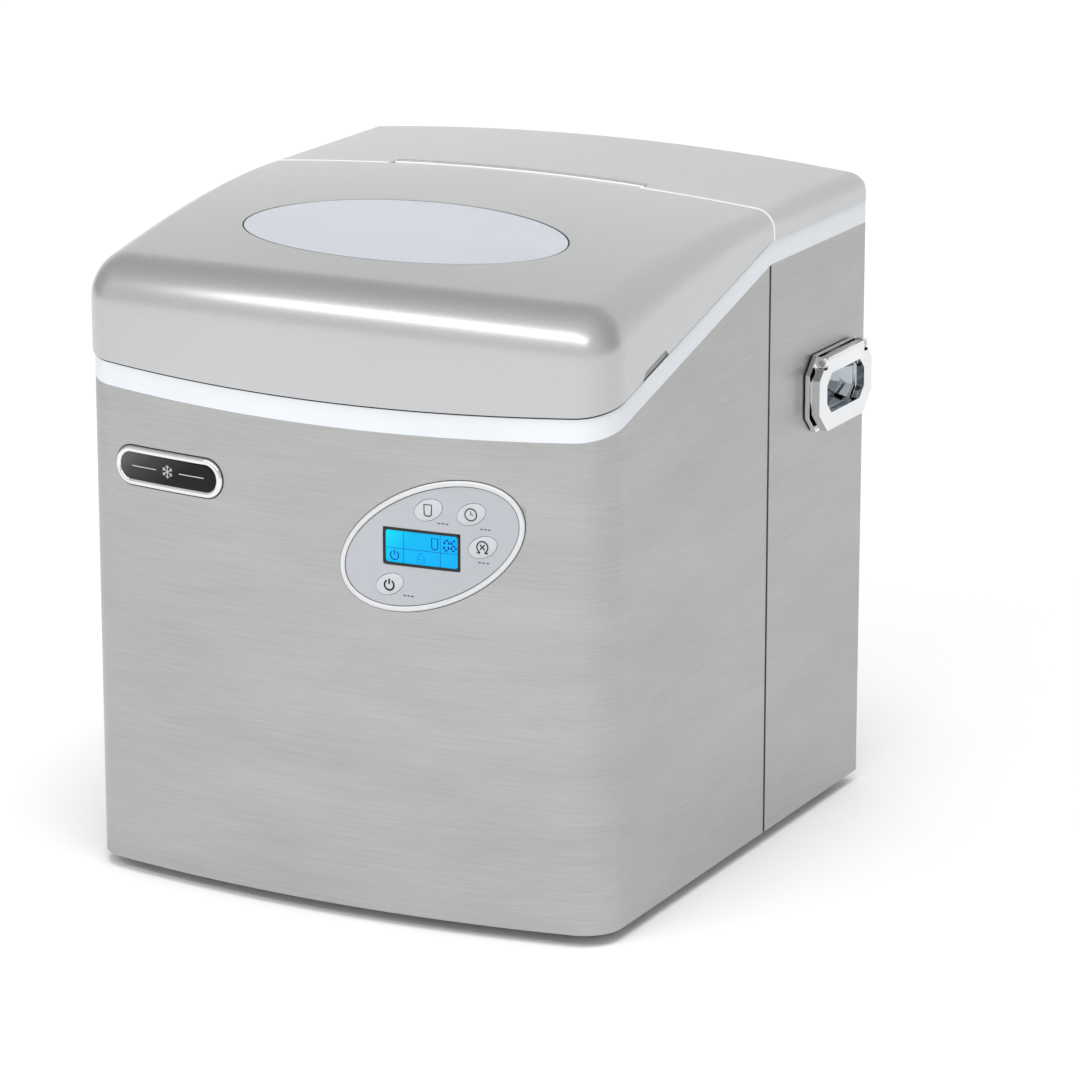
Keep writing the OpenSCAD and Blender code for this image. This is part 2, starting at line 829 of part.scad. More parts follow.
module discharge_tube() {
    color("peru") {
        pipe([[comp_x + 30, comp_y, 150], [comp_x + 30, comp_y, 178], [-5, comp_y, 178],
              [-5, coil_y, 178], [-5, coil_y, 148], [3, coil_y, 148]], 3);
        pipe([[3, coil_y, 126], [capillary_x, coil_y, 126], [capillary_x, coil_y, 190]], 3);
    }
}

module suction_tube() {
    bend_z = 300;
    color("peru") pipe([[comp_x - 30, comp_y, 150], [comp_x - 30, comp_y, bend_z],
        [suction_x, comp_y, bend_z], [suction_x, comp_y, header_z + 5],
        [suction_x, 9, header_z + 5]], suction_r);
}

module control_board() {
    color("darkgreen") {
        box([-30, 46, 180], [70, 47.6, 260]);
        for (x = [-24, 64], z = [186, 254]) rod_y(3, x, tub_rear, 46, z);
    }
    color("dimgray") {
        box([-22, 47.6, 196], [10, 72, 226]);
        for (i = [0:2]) rod_y(6, 24 + i * 15, 47.6, 66, 240);
        box([18, 47.6, 196], [60, 60, 214]);
    }
}

// ---- drain and cord inlet ----

module drain_port() {
    color("white") difference() {
        union() {
            rod_y(8, drain_x, rear_y - 16, rear_y + 5, drain_z);
            rod_y(12, drain_x, rear_y - 5.2, rear_y - sheet_t, drain_z);
        }
        rod_y(4, drain_x, rear_y - 20, rear_y + 10, drain_z);
    }
}

module drain_hose() {
    color("lightgray") difference() {
        pipe([[drain_x, 0, tub_floor_z], [drain_x, 0, drain_z], [drain_x, rear_y - 16, drain_z]], 6);
        pipe([[drain_x, 0, tub_floor_z + 1], [drain_x, 0, drain_z],
              [drain_x, rear_y - 15, drain_z]], 4);
    }
}

module drain_seal() {
    color("black") difference() {
        rod_y(11.2, drain_x, rear_y + 5.4, rear_y + 7, drain_z);
        rod_y(3, drain_x, rear_y, rear_y + 9, drain_z);
    }
}

module drain_cap() {
    color("white") difference() {
        union() {
            rod_y(14, drain_x, rear_y + 1, reach_y, drain_z);
            for (a = [0:30:359]) translate([drain_x, 0, drain_z]) rotate([0, a, 0])
                box([-1.2, rear_y + 2, 12], [1.2, reach_y - 1, 15]);
        }
        rod_y(11.6, drain_x, rear_y, rear_y + 7.3, drain_z);
    }
}

module cord_gland() {
    color("black") difference() {
        union() {
            rod_y(7, gland_x, rear_y - 5, rear_y + 6, gland_z);
            rod_y(11, gland_x, rear_y, rear_y + 3, gland_z);
            rod_y(10, gland_x, rear_y - 5, rear_y - sheet_t, gland_z);
        }
        rod_y(4, gland_x, rear_y - 10, rear_y + 10, gland_z);
    }
}

front_shell();
left_side_panel();
right_side_panel();
back_panel();
base_pan();
front_left_foot();
front_right_foot();
rear_left_foot();
rear_right_foot();
rim_frame();
rear_cover();
lid();
lid_liner();
lid_window();
hinge_pin();
control_bezel();
control_panel();
lcd_frame();
lcd_display();
select_button();
timer_button();
clean_button();
power_button();
display_board();
badge_frame();
badge_plate();
left_handle_base();
left_handle_gasket();
left_handle_bail();
left_handle_pin();
right_handle_base();
right_handle_gasket();
right_handle_bail();
right_handle_pin();
inner_tub();
ice_basket();
evaporator();
water_tray();
ice_rake();
tray_motor();
water_pump();
water_hose();
water_float();
ice_sensors();
compressor();
compressor_grommets();
condenser();
fan_shroud();
fan_motor();
fan_blade();
filter_drier();
discharge_tube();
suction_tube();
control_board();
drain_port();
drain_hose();
drain_seal();
drain_cap();
cord_gland();
back_screws();
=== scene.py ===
"""The looks of a countertop ice maker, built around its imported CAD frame.

Metres, in the frame's own axes: the front faces -Y and the floor is z = 0.
"""
import contextlib
import json
import math

import bmesh
import bpy
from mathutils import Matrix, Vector

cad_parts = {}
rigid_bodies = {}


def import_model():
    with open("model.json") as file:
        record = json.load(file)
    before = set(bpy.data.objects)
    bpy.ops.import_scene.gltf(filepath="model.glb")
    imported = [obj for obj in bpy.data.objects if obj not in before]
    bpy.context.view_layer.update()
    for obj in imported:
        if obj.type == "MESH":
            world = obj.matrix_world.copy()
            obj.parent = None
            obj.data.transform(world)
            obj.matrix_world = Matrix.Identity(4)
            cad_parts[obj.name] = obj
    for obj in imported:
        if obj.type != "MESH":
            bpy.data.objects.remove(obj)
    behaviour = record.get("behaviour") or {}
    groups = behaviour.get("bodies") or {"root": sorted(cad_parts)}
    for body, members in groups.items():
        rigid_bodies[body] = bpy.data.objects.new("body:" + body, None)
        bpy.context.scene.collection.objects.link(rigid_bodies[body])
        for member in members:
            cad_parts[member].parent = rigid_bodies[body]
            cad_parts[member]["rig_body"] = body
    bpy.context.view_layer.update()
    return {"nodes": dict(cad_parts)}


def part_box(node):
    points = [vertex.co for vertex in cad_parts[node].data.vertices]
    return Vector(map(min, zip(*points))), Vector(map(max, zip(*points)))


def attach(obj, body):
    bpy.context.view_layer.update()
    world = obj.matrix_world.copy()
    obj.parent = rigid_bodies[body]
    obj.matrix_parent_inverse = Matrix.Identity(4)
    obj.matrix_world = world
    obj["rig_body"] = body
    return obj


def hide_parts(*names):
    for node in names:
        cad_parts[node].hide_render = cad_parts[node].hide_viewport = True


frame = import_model()
MM = 0.001

# ---- dimensions taken from the frame ----

BODY_LOW, BODY_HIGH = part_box("front_shell")
COVER_LOW, COVER_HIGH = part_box("rear_cover")
RIM_LOW, RIM_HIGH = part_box("rim_frame")
TUB_LOW, TUB_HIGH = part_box("inner_tub")
HALF_W = BODY_HIGH.x
FRONT_Y = BODY_LOW.y
REAR_Y = RIM_HIGH.y
FOOT_H = BODY_LOW.z
TOP_Z = COVER_HIGH.z
SEAM_Y = 45 * MM
OVERHANG = COVER_HIGH.x - HALF_W
RIM_FRONT_Z = RIM_LOW.z
RIM_REAR_Z = BODY_HIGH.z
RIM_H = RIM_HIGH.z - RIM_REAR_Z
RIM_SLOPE = (RIM_REAR_Z - RIM_FRONT_Z) / (SEAM_Y - FRONT_Y)

# ---- driving dimensions of the shapes made here ----

BOW_SAG = 19.5 * MM
CORNER_R = 26 * MM
BOW_R = (HALF_W ** 2 + BOW_SAG ** 2) / (2 * BOW_SAG)
BOW_CY = FRONT_Y + BOW_R
SHEET_T = 1.2 * MM
LID_ARC_R = 1077 * MM
CROWN_R = 1849 * MM
FRONT_ROLL_R = 24 * MM
SHOULDER_R = 12 * MM
LID_T = 2.5 * MM
LID_GAP = 1.3 * MM
SEAM_GAP = 2.4 * MM
WINDOW_Y = -98 * MM
WINDOW_A = 110 * MM
WINDOW_B = 54 * MM
HINGE_Y = 51 * MM
HINGE_Z = 413 * MM
STRIP_HALF = 89 * MM
BEZEL = (71.2 * MM, 243 * MM)
BEZEL_A = 64.3 * MM
BEZEL_B = 36.4 * MM
BEZEL_TILT = math.radians(24.9)
RING_W = 3.4 * MM
LCD = (65.3 * MM, 240.8 * MM)
LCD_W = 50.6 * MM
LCD_H = 23.3 * MM
LCD_BORDER = 1.7 * MM
BADGE = (-114 * MM, 266 * MM)
BADGE_W = 83 * MM
BADGE_H = 25 * MM
BADGE_RING = 4 * MM
BUTTONS = {
    "select": (70 * MM, 265.5 * MM),
    "timer": (97.6 * MM, 265.5 * MM),
    "clean": (104.9 * MM, 245.9 * MM),
    "power": (44.3 * MM, 216.9 * MM),
}
BUTTON_A = 9.6 * MM
BUTTON_B = 6.2 * MM


# ---- materials ----

def set_stops(node, stops):
    """Gives a colour ramp these (place, colour) stops."""
    elements = node.color_ramp.elements
    while len(elements) < len(stops):
        elements.new(0.5)
    for element, (place, color) in zip(elements, stops):
        element.position = place
        element.color = (*color, 1.0)


class Shader:
    """A Principled material with short helpers for its procedural nodes."""

    def __init__(self, name, color, roughness, metallic=0.0):
        self.material = bpy.data.materials.new(name)
        self.material.use_nodes = True
        self.nodes = self.material.node_tree.nodes
        self.links = self.material.node_tree.links
        self.bsdf = self.nodes["Principled BSDF"]
        self.color = tuple(color)
        self.set(Base_Color=(*color, 1.0), Roughness=roughness, Metallic=metallic)
        self.place = self.node("TexCoord").outputs["Object"]

    def set(self, **values):
        """Sets the shader's own sockets: Coat_Weight is the socket Coat Weight."""
        for socket, value in values.items():
            self.bsdf.inputs[socket.replace("_", " ")].default_value = value

    def node(self, kind, **values):
        """A node of this kind, with values for its sockets: From_Min is the socket From Min."""
        node = self.nodes.new(f"ShaderNode{kind}")
        for socket, value in values.items():
            node.inputs[socket.replace("_", " ")].default_value = value
        return node

    def mapped(self, scale):
        node = self.node("Mapping", Scale=scale)
        self.links.new(self.place, node.inputs["Vector"])
        return node.outputs["Vector"]

    def noise(self, scale, detail=3.0, rough=0.55):
        """Noise with features about 1/scale metres across: one number, or one for X, Y and Z."""
        scale = scale if isinstance(scale, tuple) else (scale,) * 3
        node = self.node("TexNoise", Scale=1.0, Detail=detail, Roughness=rough)
        self.links.new(self.mapped(scale), node.inputs["Vector"])
        return node.outputs["Fac"]

    def ramp(self, value, stops):
        node = self.node("ValToRGB")
        set_stops(node, stops)
        self.links.new(value, node.inputs["Fac"])
        return node.outputs["Color"]

    def math(self, kind, a, b):
        node = self.node("Math")
        node.operation = kind
        for socket, value in zip(node.inputs, (a, b)):
            if isinstance(value, float):
                socket.default_value = value
            else:
                self.links.new(value, socket)
        return node.outputs["Value"]

    def blend(self, a, a_share, b, b_share):
        return self.math("ADD", self.math("MULTIPLY", a, a_share), self.math("MULTIPLY", b, b_share))

    def shares(self, node):
        """How far a point is across and down a CAD node's box, each from 0 to 1."""
        low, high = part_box(node)
        axes = self.node("SeparateXYZ")
        self.links.new(self.place, axes.inputs["Vector"])
        across = self.math("DIVIDE", self.math("SUBTRACT", axes.outputs["X"], low.x), high.x - low.x)
        down = self.math("DIVIDE", self.math("SUBTRACT", high.z, axes.outputs["Z"]), high.z - low.z)
        return across, down

    def vary_color(self, value, amount, low=0.3, high=0.7):
        """Shades the base colour darker and lighter by amount, following value."""
        dark = [c * (1 - amount) for c in self.color]
        light = [min(1.0, c * (1 + amount)) for c in self.color]
        self.links.new(self.ramp(value, [(low, dark), (high, light)]), self.bsdf.inputs["Base Color"])

    def vary_roughness(self, value, low, high):
        node = self.node("MapRange", From_Min=0.3, From_Max=0.7, To_Min=low, To_Max=high)
        self.links.new(value, node.inputs["Value"])
        self.links.new(node.outputs["Result"], self.bsdf.inputs["Roughness"])

    def bump(self, value, depth, strength=1.0):
        node = self.node("Bump", Strength=strength, Distance=depth)
        self.links.new(value, node.inputs["Height"])
        self.links.new(node.outputs["Normal"], self.bsdf.inputs["Normal"])


def brushed(name, color, roughness, streak=1.0):
    """Sheet metal with fine brushing that runs level round the body."""
    s = Shader(name, color, roughness, metallic=1.0)
    long = s.noise((22, 22, 850), detail=2.0)
    short = s.noise((70, 70, 2600), detail=3.0, rough=0.65)
    cloud = s.noise((7, 7, 26), detail=2.0)
    grain = s.blend(long, 0.5, short, 0.5)
    shade = s.blend(grain, 0.7, cloud, 0.3)
    s.vary_color(shade, 0.11 * streak, 0.36, 0.64)
    s.vary_roughness(grain, roughness - 0.04, roughness + 0.06)
    s.bump(grain, 0.00002, 0.22 * streak)
    s.set(Anisotropic=0.55)
    return s.material


def moulded(name, color, roughness, grain=900, depth=0.00002, coat=0.0, metallic=0.0):
    """Moulded plastic: a fine spark texture, with slow changes of gloss."""
    s = Shader(name, color, roughness, metallic)
    fine = s.noise((grain, grain, grain), detail=2.0)
    slow = s.noise(14, detail=2.0)
    s.vary_color(slow, 0.025)
    s.vary_roughness(s.blend(fine, 0.5, slow, 0.5), roughness - 0.03, roughness + 0.05)
    s.bump(fine, depth, 0.4)
    s.set(Coat_Weight=coat, Coat_Roughness=0.12)
    return s.material


def pearl_paint():
    """Silver paint on plastic: metal flakes in a satin clear layer."""
    s = Shader("silver_paint", (0.52, 0.525, 0.53), 0.30, metallic=0.78)
    flake = s.noise(2600, detail=1.0)
    slow = s.noise(6, detail=1.0)
    s.vary_color(s.blend(flake, 0.6, slow, 0.4), 0.05)
    s.vary_roughness(flake, 0.27, 0.34)
    s.bump(flake, 0.000003, 0.15)
    s.set(Coat_Weight=0.35, Coat_Roughness=0.22)
    return s.material


def plated(name, color):
    """Chrome plating, with faint orange peel and handling haze."""
    s = Shader(name, color, 0.07, metallic=1.0)
    haze = s.noise(30, detail=3.0)
    s.vary_color(haze, 0.03)
    s.vary_roughness(haze, 0.04, 0.13)
    s.bump(s.noise(160, detail=1.0), 0.00002, 0.25)
    return s.material


def milky_window():
    """Frosted pane that lets some light through."""
    s = Shader("milky_pane", (0.62, 0.655, 0.72), 0.22)
    slow = s.noise((9, 14, 9), detail=1.0)
    s.vary_color(slow, 0.03)
    s.vary_roughness(slow, 0.18, 0.27)
    s.bump(s.noise(220, detail=1.0), 0.00002, 0.15)
    s.set(Transmission_Weight=0.28, IOR=1.49, Coat_Weight=0.25, Coat_Roughness=0.1)
    return s.material


def rubbery(name, color, roughness=0.75):
    """Matt rubber with dust in its grain."""
    s = Shader(name, color, roughness)
    dust = s.noise(130, detail=4.0, rough=0.7)
    s.vary_color(dust, 0.25)
    s.vary_roughness(dust, roughness - 0.12, roughness + 0.08)
    s.bump(s.noise(1400, detail=2.0), 0.00004, 0.5)
    return s.material


def painted(name, color, roughness, peel=420):
    """Sprayed paint on steel: orange peel and slight unevenness."""
    s = Shader(name, color, roughness)
    slow = s.noise(22, detail=3.0)
    s.vary_color(slow, 0.06)
    s.vary_roughness(slow, roughness - 0.06, roughness + 0.06)
    s.bump(s.noise((peel, peel, peel), detail=2.0), 0.00005, 0.4)
    return s.material


def copper():
    """Drawn copper tube, tarnished in patches."""
    s = Shader("drawn_copper", (0.68, 0.35, 0.20), 0.3, metallic=1.0)
    patch = s.noise(45, detail=5.0, rough=0.65)
    s.links.new(s.ramp(patch, [(0.32, (0.30, 0.13, 0.07)), (0.5, (0.62, 0.30, 0.17)),
                               (0.68, (0.80, 0.46, 0.30))]), s.bsdf.inputs["Base Color"])
    s.vary_roughness(patch, 0.22, 0.48)
    s.bump(s.noise(500, detail=2.0), 0.00003, 0.3)
    return s.material


def circuit_board():
    """Green solder mask with lighter copper tracks beneath it."""
    s = Shader("solder_mask", (0.03, 0.16, 0.07), 0.32)
    tracks = s.node("TexBrick", Scale=1.0, Color1=(0.02, 0.13, 0.06, 1), Color2=(0.03, 0.17, 0.08, 1),
                    Mortar=(0.10, 0.34, 0.14, 1), Mortar_Size=0.06, Brick_Width=1.4)
    s.links.new(s.mapped((420,) * 3), tracks.inputs["Vector"])
    s.links.new(tracks.outputs["Color"], s.bsdf.inputs["Base Color"])
    s.vary_roughness(s.noise(60), 0.26, 0.42)
    s.bump(tracks.outputs["Fac"], 0.00003, 0.4)
    return s.material


def lcd_glow():
    """Backlit liquid crystal, cyan at the upper left and bluer to the lower right."""
    s = Shader("lcd_backlight", (0.0, 0.05, 0.09), 0.3)
    across, down = s.shares("lcd_display")
    spot = s.blend(across, 0.75, down, 0.25)
    fleck = s.math("MULTIPLY", s.math("SUBTRACT", s.noise(300), 0.5), 0.05)
    glow = s.ramp(s.math("ADD", spot, fleck),
                  [(0.0, (0.0, 0.72, 0.84)), (0.30, (0.0, 0.44, 0.84)), (1.0, (0.0, 0.40, 0.86))])
    s.links.new(glow, s.bsdf.inputs["Emission Color"])
    s.set(Emission_Strength=1.0, Specular_IOR_Level=0.15)
    return s.material


def badge_enamel_painted_reflection():
    """Gloss enamel that fades from grey at its left end to black; the grey, lighter also towards the
    top, is a painted reflection.
    """
    s = Shader("badge_enamel_painted_reflection", (0.02, 0.02, 0.022), 0.18)
    # Painted reflection: lighter grey towards the left end and the top of the plate.
    across, down = s.shares("badge_plate")
    fade = s.blend(across, 0.8, down, 0.3)
    s.links.new(s.ramp(fade, [(0.0, (0.11, 0.114, 0.118)), (0.3, (0.035, 0.036, 0.038)),
                              (0.65, (0.003, 0.003, 0.0035))]), s.bsdf.inputs["Base Color"])
    s.vary_roughness(s.noise(90), 0.14, 0.24)
    s.set(Specular_IOR_Level=0.22)
    return s.material


def ink(name, color):
    """Printed ink with a trace of unevenness."""
    s = Shader(name, color, 0.6)
    s.vary_color(s.noise(700), 0.12)
    s.set(Specular_IOR_Level=0.15)
    return s.material


def clear_tube():
    """Slightly cloudy vinyl hose."""
    s = Shader("clear_vinyl", (0.70, 0.71, 0.69), 0.28)
    slow = s.noise(60, detail=3.0)
    s.vary_color(slow, 0.05)
    s.vary_roughness(slow, 0.22, 0.36)
    s.set(Transmission_Weight=0.35)
    return s.material


FINISHES = {
    "stainless": brushed("brushed_stainless", (0.43, 0.431, 0.429), 0.33),
    "painted_steel": painted("grey_enamel", (0.44, 0.45, 0.46), 0.42),
    "silver_plastic": pearl_paint(),
    "white_plastic": moulded("white_abs", (0.72, 0.75, 0.785), 0.36),
    "tub_plastic": moulded("tub_abs", (0.72, 0.76, 0.79), 0.33, grain=500),
    "clear_window": milky_window(),
    "basket_plastic": moulded("basket_san", (0.66, 0.72, 0.77), 0.24, grain=400, coat=0.3),
    "chrome": plated("chrome_plate", (0.78, 0.79, 0.80)),
    "bezel_silver": moulded("bezel_paint", (0.66, 0.67, 0.68), 0.30, grain=1800, metallic=0.35),
    "panel_grey": moulded("panel_film", (0.43, 0.45, 0.48), 0.42, grain=1500),
    "button_pad": moulded("button_film", (0.52, 0.55, 0.58), 0.42, grain=1500),
    "gloss_black": badge_enamel_painted_reflection(),
    "lcd_blue": lcd_glow(),
    "circuit_board": circuit_board(),
    "black_rubber": rubbery("black_rubber_mat", (0.014, 0.014, 0.016)),
    "steel": brushed("zinc_steel", (0.42, 0.42, 0.43), 0.35, streak=0.6),
    "black_paint": painted("compressor_black", (0.022, 0.022, 0.024), 0.38),
    "black_plastic": moulded("black_nylon", (0.035, 0.036, 0.038), 0.5, grain=700, depth=0.00005),
    "bright_metal": brushed("cast_alloy", (0.66, 0.67, 0.68), 0.28, streak=0.5),
    "copper": copper(),
    "clear_hose": clear_tube(),
}
FRAME_BLACK = moulded("lcd_surround", (0.003, 0.003, 0.0035), 0.45, grain=1200)
DARK_INK = ink("dark_ink", (0.006, 0.008, 0.012))
LCD_INK = ink("lcd_ink", (0.0, 0.012, 0.30))
PALE_LCD_INK = ink("pale_lcd_ink", (0.0, 0.16, 0.62))
SILVER_INK = ink("silver_ink", (0.55, 0.56, 0.58))
# Chrome darkened for the inside of the handle cups: painted shade of the recess.
CUP_SHADED_CHROME = plated("cup_chrome_painted_shade", (0.40, 0.44, 0.47))
# Near-white plastic for the beads along the seam and the hinge strip: painted highlight.
EDGE_HIGHLIGHT_WHITE = moulded("painted_edge_highlight", (0.86, 0.865, 0.87), 0.3, grain=1500)
# Dark grey for the pad in the lid's finger notch: painted shade of the notch.
NOTCH_SHADE_GREY = moulded("notch_painted_shade_grey", (0.30, 0.305, 0.31), 0.5, grain=700)
SLOT_OF = {name: node.data.materials[0].name for name, node in frame["nodes"].items()}


# ---- mesh helpers ----

def place_in_scene(name, data):
    obj = bpy.data.objects.new(name, data)
    bpy.context.scene.collection.objects.link(obj)
    return obj


@contextlib.contextmanager
def edited(mesh):
    """A mesh opened as a bmesh, and written back when the block ends."""
    bm = bmesh.new()
    bm.from_mesh(mesh)
    yield bm
    bm.to_mesh(mesh)
    bm.free()


def piece(name, verts, faces, slot, body, nodes=(), finish=None):
    """A new mesh that rides on a body and stands for some CAD nodes."""
    mesh = bpy.data.meshes.new(name)
    mesh.from_pydata([tuple(v) for v in verts], [], faces)
    mesh.validate()
    obj = place_in_scene(name, mesh)
    dress(obj, slot, body, nodes, finish)
    return obj


def dress(obj, slot, body, nodes=(), finish=None):
    """Gives a piece its material, chosen by slot, and the body it rides on, and hides the nodes it
    stands for.
    """
    obj.data.materials.clear()
    obj.data.materials.append(finish or FINISHES[slot])
    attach(obj, body)
    if nodes:
        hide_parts(*nodes)


def outward(obj):
    with edited(obj.data) as bm:
        bmesh.ops.recalc_face_normals(bm, faces=bm.faces)


def face_up(bm):
    """Makes the normals of an open shell agree, with most of its area facing up."""
    bmesh.ops.recalc_face_normals(bm, faces=bm.faces)
    if sum(f.normal.z * f.calc_area() for f in bm.faces) < 0:
        bmesh.ops.reverse_faces(bm, faces=bm.faces)


def smooth(obj, angle=35):
    """Shades a piece smooth, with edges sharper than angle degrees left sharp."""
    obj.data.shade_smooth()
    obj.data.set_sharp_from_angle(angle=math.radians(angle))


def bevel(obj, width, segments=2, angle=30):
    """Rounds the edges of a piece, so that they catch the light as real edges do."""
    rounding = obj.modifiers.new("rounding", "BEVEL")
    rounding.width = width
    rounding.segments = segments
    rounding.limit_method = "ANGLE"
    rounding.angle_limit = math.radians(angle)
    rounding.harden_normals = True
    rounding.miter_outer = "MITER_ARC"


def thicken(obj, thickness):
    """Gives a sheet its thickness, inwards from its outer face."""
    wall = obj.modifiers.new("wall", "SOLIDIFY")
    wall.thickness = thickness
    wall.offset = -1.0
    wall.use_even_offset = True


def grid_faces(rows, columns, closed=False):
    """Quads between rows of points laid one after another."""
    last = columns if closed else columns - 1
    return [(r * columns + c, r * columns + (c + 1) % columns,
             (r + 1) * columns + (c + 1) % columns, (r + 1) * columns + c)
            for r in range(rows - 1) for c in range(last)]


def end_caps(count, total):
    """Faces that close both ends of a tube of rings of count points, total points in all."""
    return [tuple(range(count)), tuple(range(total - 1, total - count - 1, -1))]


def tube(name, rings, slot, body, nodes=(), finish=None, angle=35):
    """A closed solid skinned over rings of points, smooth and facing outwards."""
    count = len(rings[0])
    points = [p for ring in rings for p in ring]
    faces = grid_faces(len(rings), count, closed=True) + end_caps(count, len(points))
    obj = piece(name, points, faces, slot, body, nodes, finish)
    outward(obj)
    smooth(obj, angle)


def soften(node, width):
    """A copy of a CAD node's shape with rounded edges, which stands for the node."""
    source = frame["nodes"][node]
    mesh = source.data.copy()
    mesh.name = f"{node}_shape"
    with edited(mesh) as bm:
        bmesh.ops.remove_doubles(bm, verts=bm.verts, dist=0.004 * MM)
        bmesh.ops.dissolve_limit(bm, angle_limit=math.radians(1.0), verts=bm.verts, edges=bm.edges)
    obj = place_in_scene(mesh.name, mesh)
    dress(obj, SLOT_OF[node], source["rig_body"], [node])
    smooth(obj)
    bevel(obj, width)


# ---- outlines round the body ----

def body_outline(grow, rear, step=4 * MM):
    """Points and outward normals from the left rear, round the bowed front, to the right rear."""
    inner_x = HALF_W - CORNER_R
    reach = BOW_R - CORNER_R
    corner_y = BOW_CY - math.sqrt(reach ** 2 - inner_x ** 2)
    swing = math.asin(inner_x / reach)
    side = max(2, round((rear - corner_y) / step))
    points = []
    for i in range(side):
        points.append((-HALF_W - grow, rear + (corner_y - rear) * i / side, -1.0, 0.0))

    def turn(cx, cy, radius, start, end, count, last):
        for i in range(count + last):
            a = start + (end - start) * i / count
            points.append((cx + radius * math.cos(a), cy + radius * math.sin(a),
                           math.cos(a), math.sin(a)))

    quarter = math.pi / 2
    bow = round(2 * swing * BOW_R / step)
    round_corner = 20
    turn(-inner_x, corner_y, CORNER_R + grow, 2 * quarter, 3 * quarter - swing, round_corner, 0)
    turn(0, BOW_CY, BOW_R + grow, 3 * quarter - swing, 3 * quarter + swing, bow, 0)
    turn(inner_x, corner_y, CORNER_R + grow, 3 * quarter + swing, 4 * quarter, round_corner, 1)
    for i in range(1, side + 1):
        points.append((HALF_W + grow, corner_y + (rear - corner_y) * i / side, 1.0, 0.0))
    return points


def rim_under(y):
    """Height of the rim's lower edge, which slopes under the lid and is level behind it."""
    return RIM_FRONT_Z + (y - FRONT_Y) * RIM_SLOPE if y < SEAM_Y else RIM_REAR_Z


def crown_drop(x):
    """How far the crowned top has fallen at x from the middle."""
    return CROWN_R - math.sqrt(CROWN_R ** 2 - x ** 2)


def lid_top(x, y):
    return TOP_Z - LID_ARC_R + math.sqrt(LID_ARC_R ** 2 - (y - SEAM_Y) ** 2) - crown_drop(x)


def cover_top(x, y):
    return TOP_Z - crown_drop(x)


def ease(t):
    t = min(max(t, 0.0), 1.0)
    return t * t * (3 - 2 * t)


def shoulder_rows(count, inset, radius, top, bottom, walls=6, turns=12):
    """Rows of points up a wall and over its rounded shoulder to the top surface.

    inset(i, u, r) is the plan point u inside the wall; radius, top and bottom are functions
    of a plan point.
    """
    columns = []
    for i in range(count):
        foot = inset(i, 0.0, SHOULDER_R)
        r = radius(*foot)
        low = bottom(*foot)
        high = top(*foot) - r
        column = [(*foot, low + (high - low) * k / walls) for k in range(walls)]
        for k in range(turns + 1):
            a = math.pi / 2 * k / turns
            x, y = inset(i, r * (1 - math.cos(a)), r)
            column.append((x, y, top(x, y) - r * (1 - math.sin(a))))
        columns.append(column)
    return [list(row) for row in zip(*columns)]


def weld(name, grids, slot, body, nodes):
    """One mesh from several grids of points, each a list of rows, joined where they meet."""
    verts, faces = [], []
    for rows, closed in grids:
        start = len(verts)
        verts += [p for row in rows for p in row]
        faces += [tuple(start + i for i in f) for f in grid_faces(len(rows), len(rows[0]), closed)]
    obj = piece(name, verts, faces, slot, body, nodes)
    with edited(obj.data) as bm:
        bmesh.ops.remove_doubles(bm, verts=bm.verts, dist=0.002 * MM)
        bmesh.ops.dissolve_degenerate(bm, dist=0.002 * MM, edges=bm.edges)
        face_up(bm)
    return obj


def spread(low, high, step):
    """Evenly spaced values from low to high, both kept."""
    count = max(1, round((high - low) / step))
    return [low + (high - low) * i / count for i in range(count + 1)]


# ---- sheet metal, rim, cover and lid ----

def bake(obj):
    """Makes a piece's modifiers part of its mesh."""
    bpy.context.view_layer.update()
    graph = bpy.context.evaluated_depsgraph_get()
    mesh = bpy.data.meshes.new_from_object(obj.evaluated_get(graph))
    obj.modifiers.clear()
    obj.data = mesh


def carve(obj, verts, faces):
    """Cuts the shape with these points out of a piece."""
    mesh = bpy.data.meshes.new("cutter")
    mesh.from_pydata(verts, [], faces)
    cutter = place_in_scene("cutter", mesh)
    outward(cutter)
    cut = obj.modifiers.new("cut", "BOOLEAN")
    cut.object = cutter
    cut.solver = "EXACT"
    bake(obj)
    bpy.data.objects.remove(cutter)
    bpy.data.meshes.remove(mesh)


def lid_gap_shadow_strip():
    """Thin dark strip between the rim and the lid, round the front and both sides: painted shadow, a
    dark sheet standing for the shade in the gap.
    """
    out, back, low, high = 0.3 * MM, 1.9 * MM, RIM_H - 0.1 * MM, RIM_H + 1.0 * MM
    profile = ((out, low), (out, high), (-back, high), (-back, low), (out, low))
    rows = [[(x + nx * u, y + ny * u, rim_under(y) + z) for u, z in profile]
            for x, y, nx, ny in body_outline(0.0, SEAM_Y - 2 * MM)]
    # The black rubber finish here is painted shadow in the gap under the lid.
    obj = piece("lid_gap_shadow_strip", [p for row in rows for p in row], grid_faces(len(rows), len(profile)),
                "black_rubber", "housing")
    outward(obj)
    smooth(obj)


def side_seams():
    """Dark strip that fills the joint between the front sheet and each side panel."""
    for name, sign in (("left", -1), ("right", 1)):
        x0, x1 = sign * (HALF_W - 1.4 * MM), sign * (HALF_W - 0.15 * MM)
        y0, y1 = SEAM_Y - SEAM_GAP - 0.1 * MM, SEAM_Y + 0.25 * MM
        rows = [[(x, y, z) for x, y in ((x0, y0), (x1, y0), (x1, y1), (x0, y1))]
                for z in spread(FOOT_H + 1 * MM, RIM_REAR_Z - 1 * MM, 30 * MM)]
        tube(f"{name}_seam_strip", rows, "black_rubber", "housing")


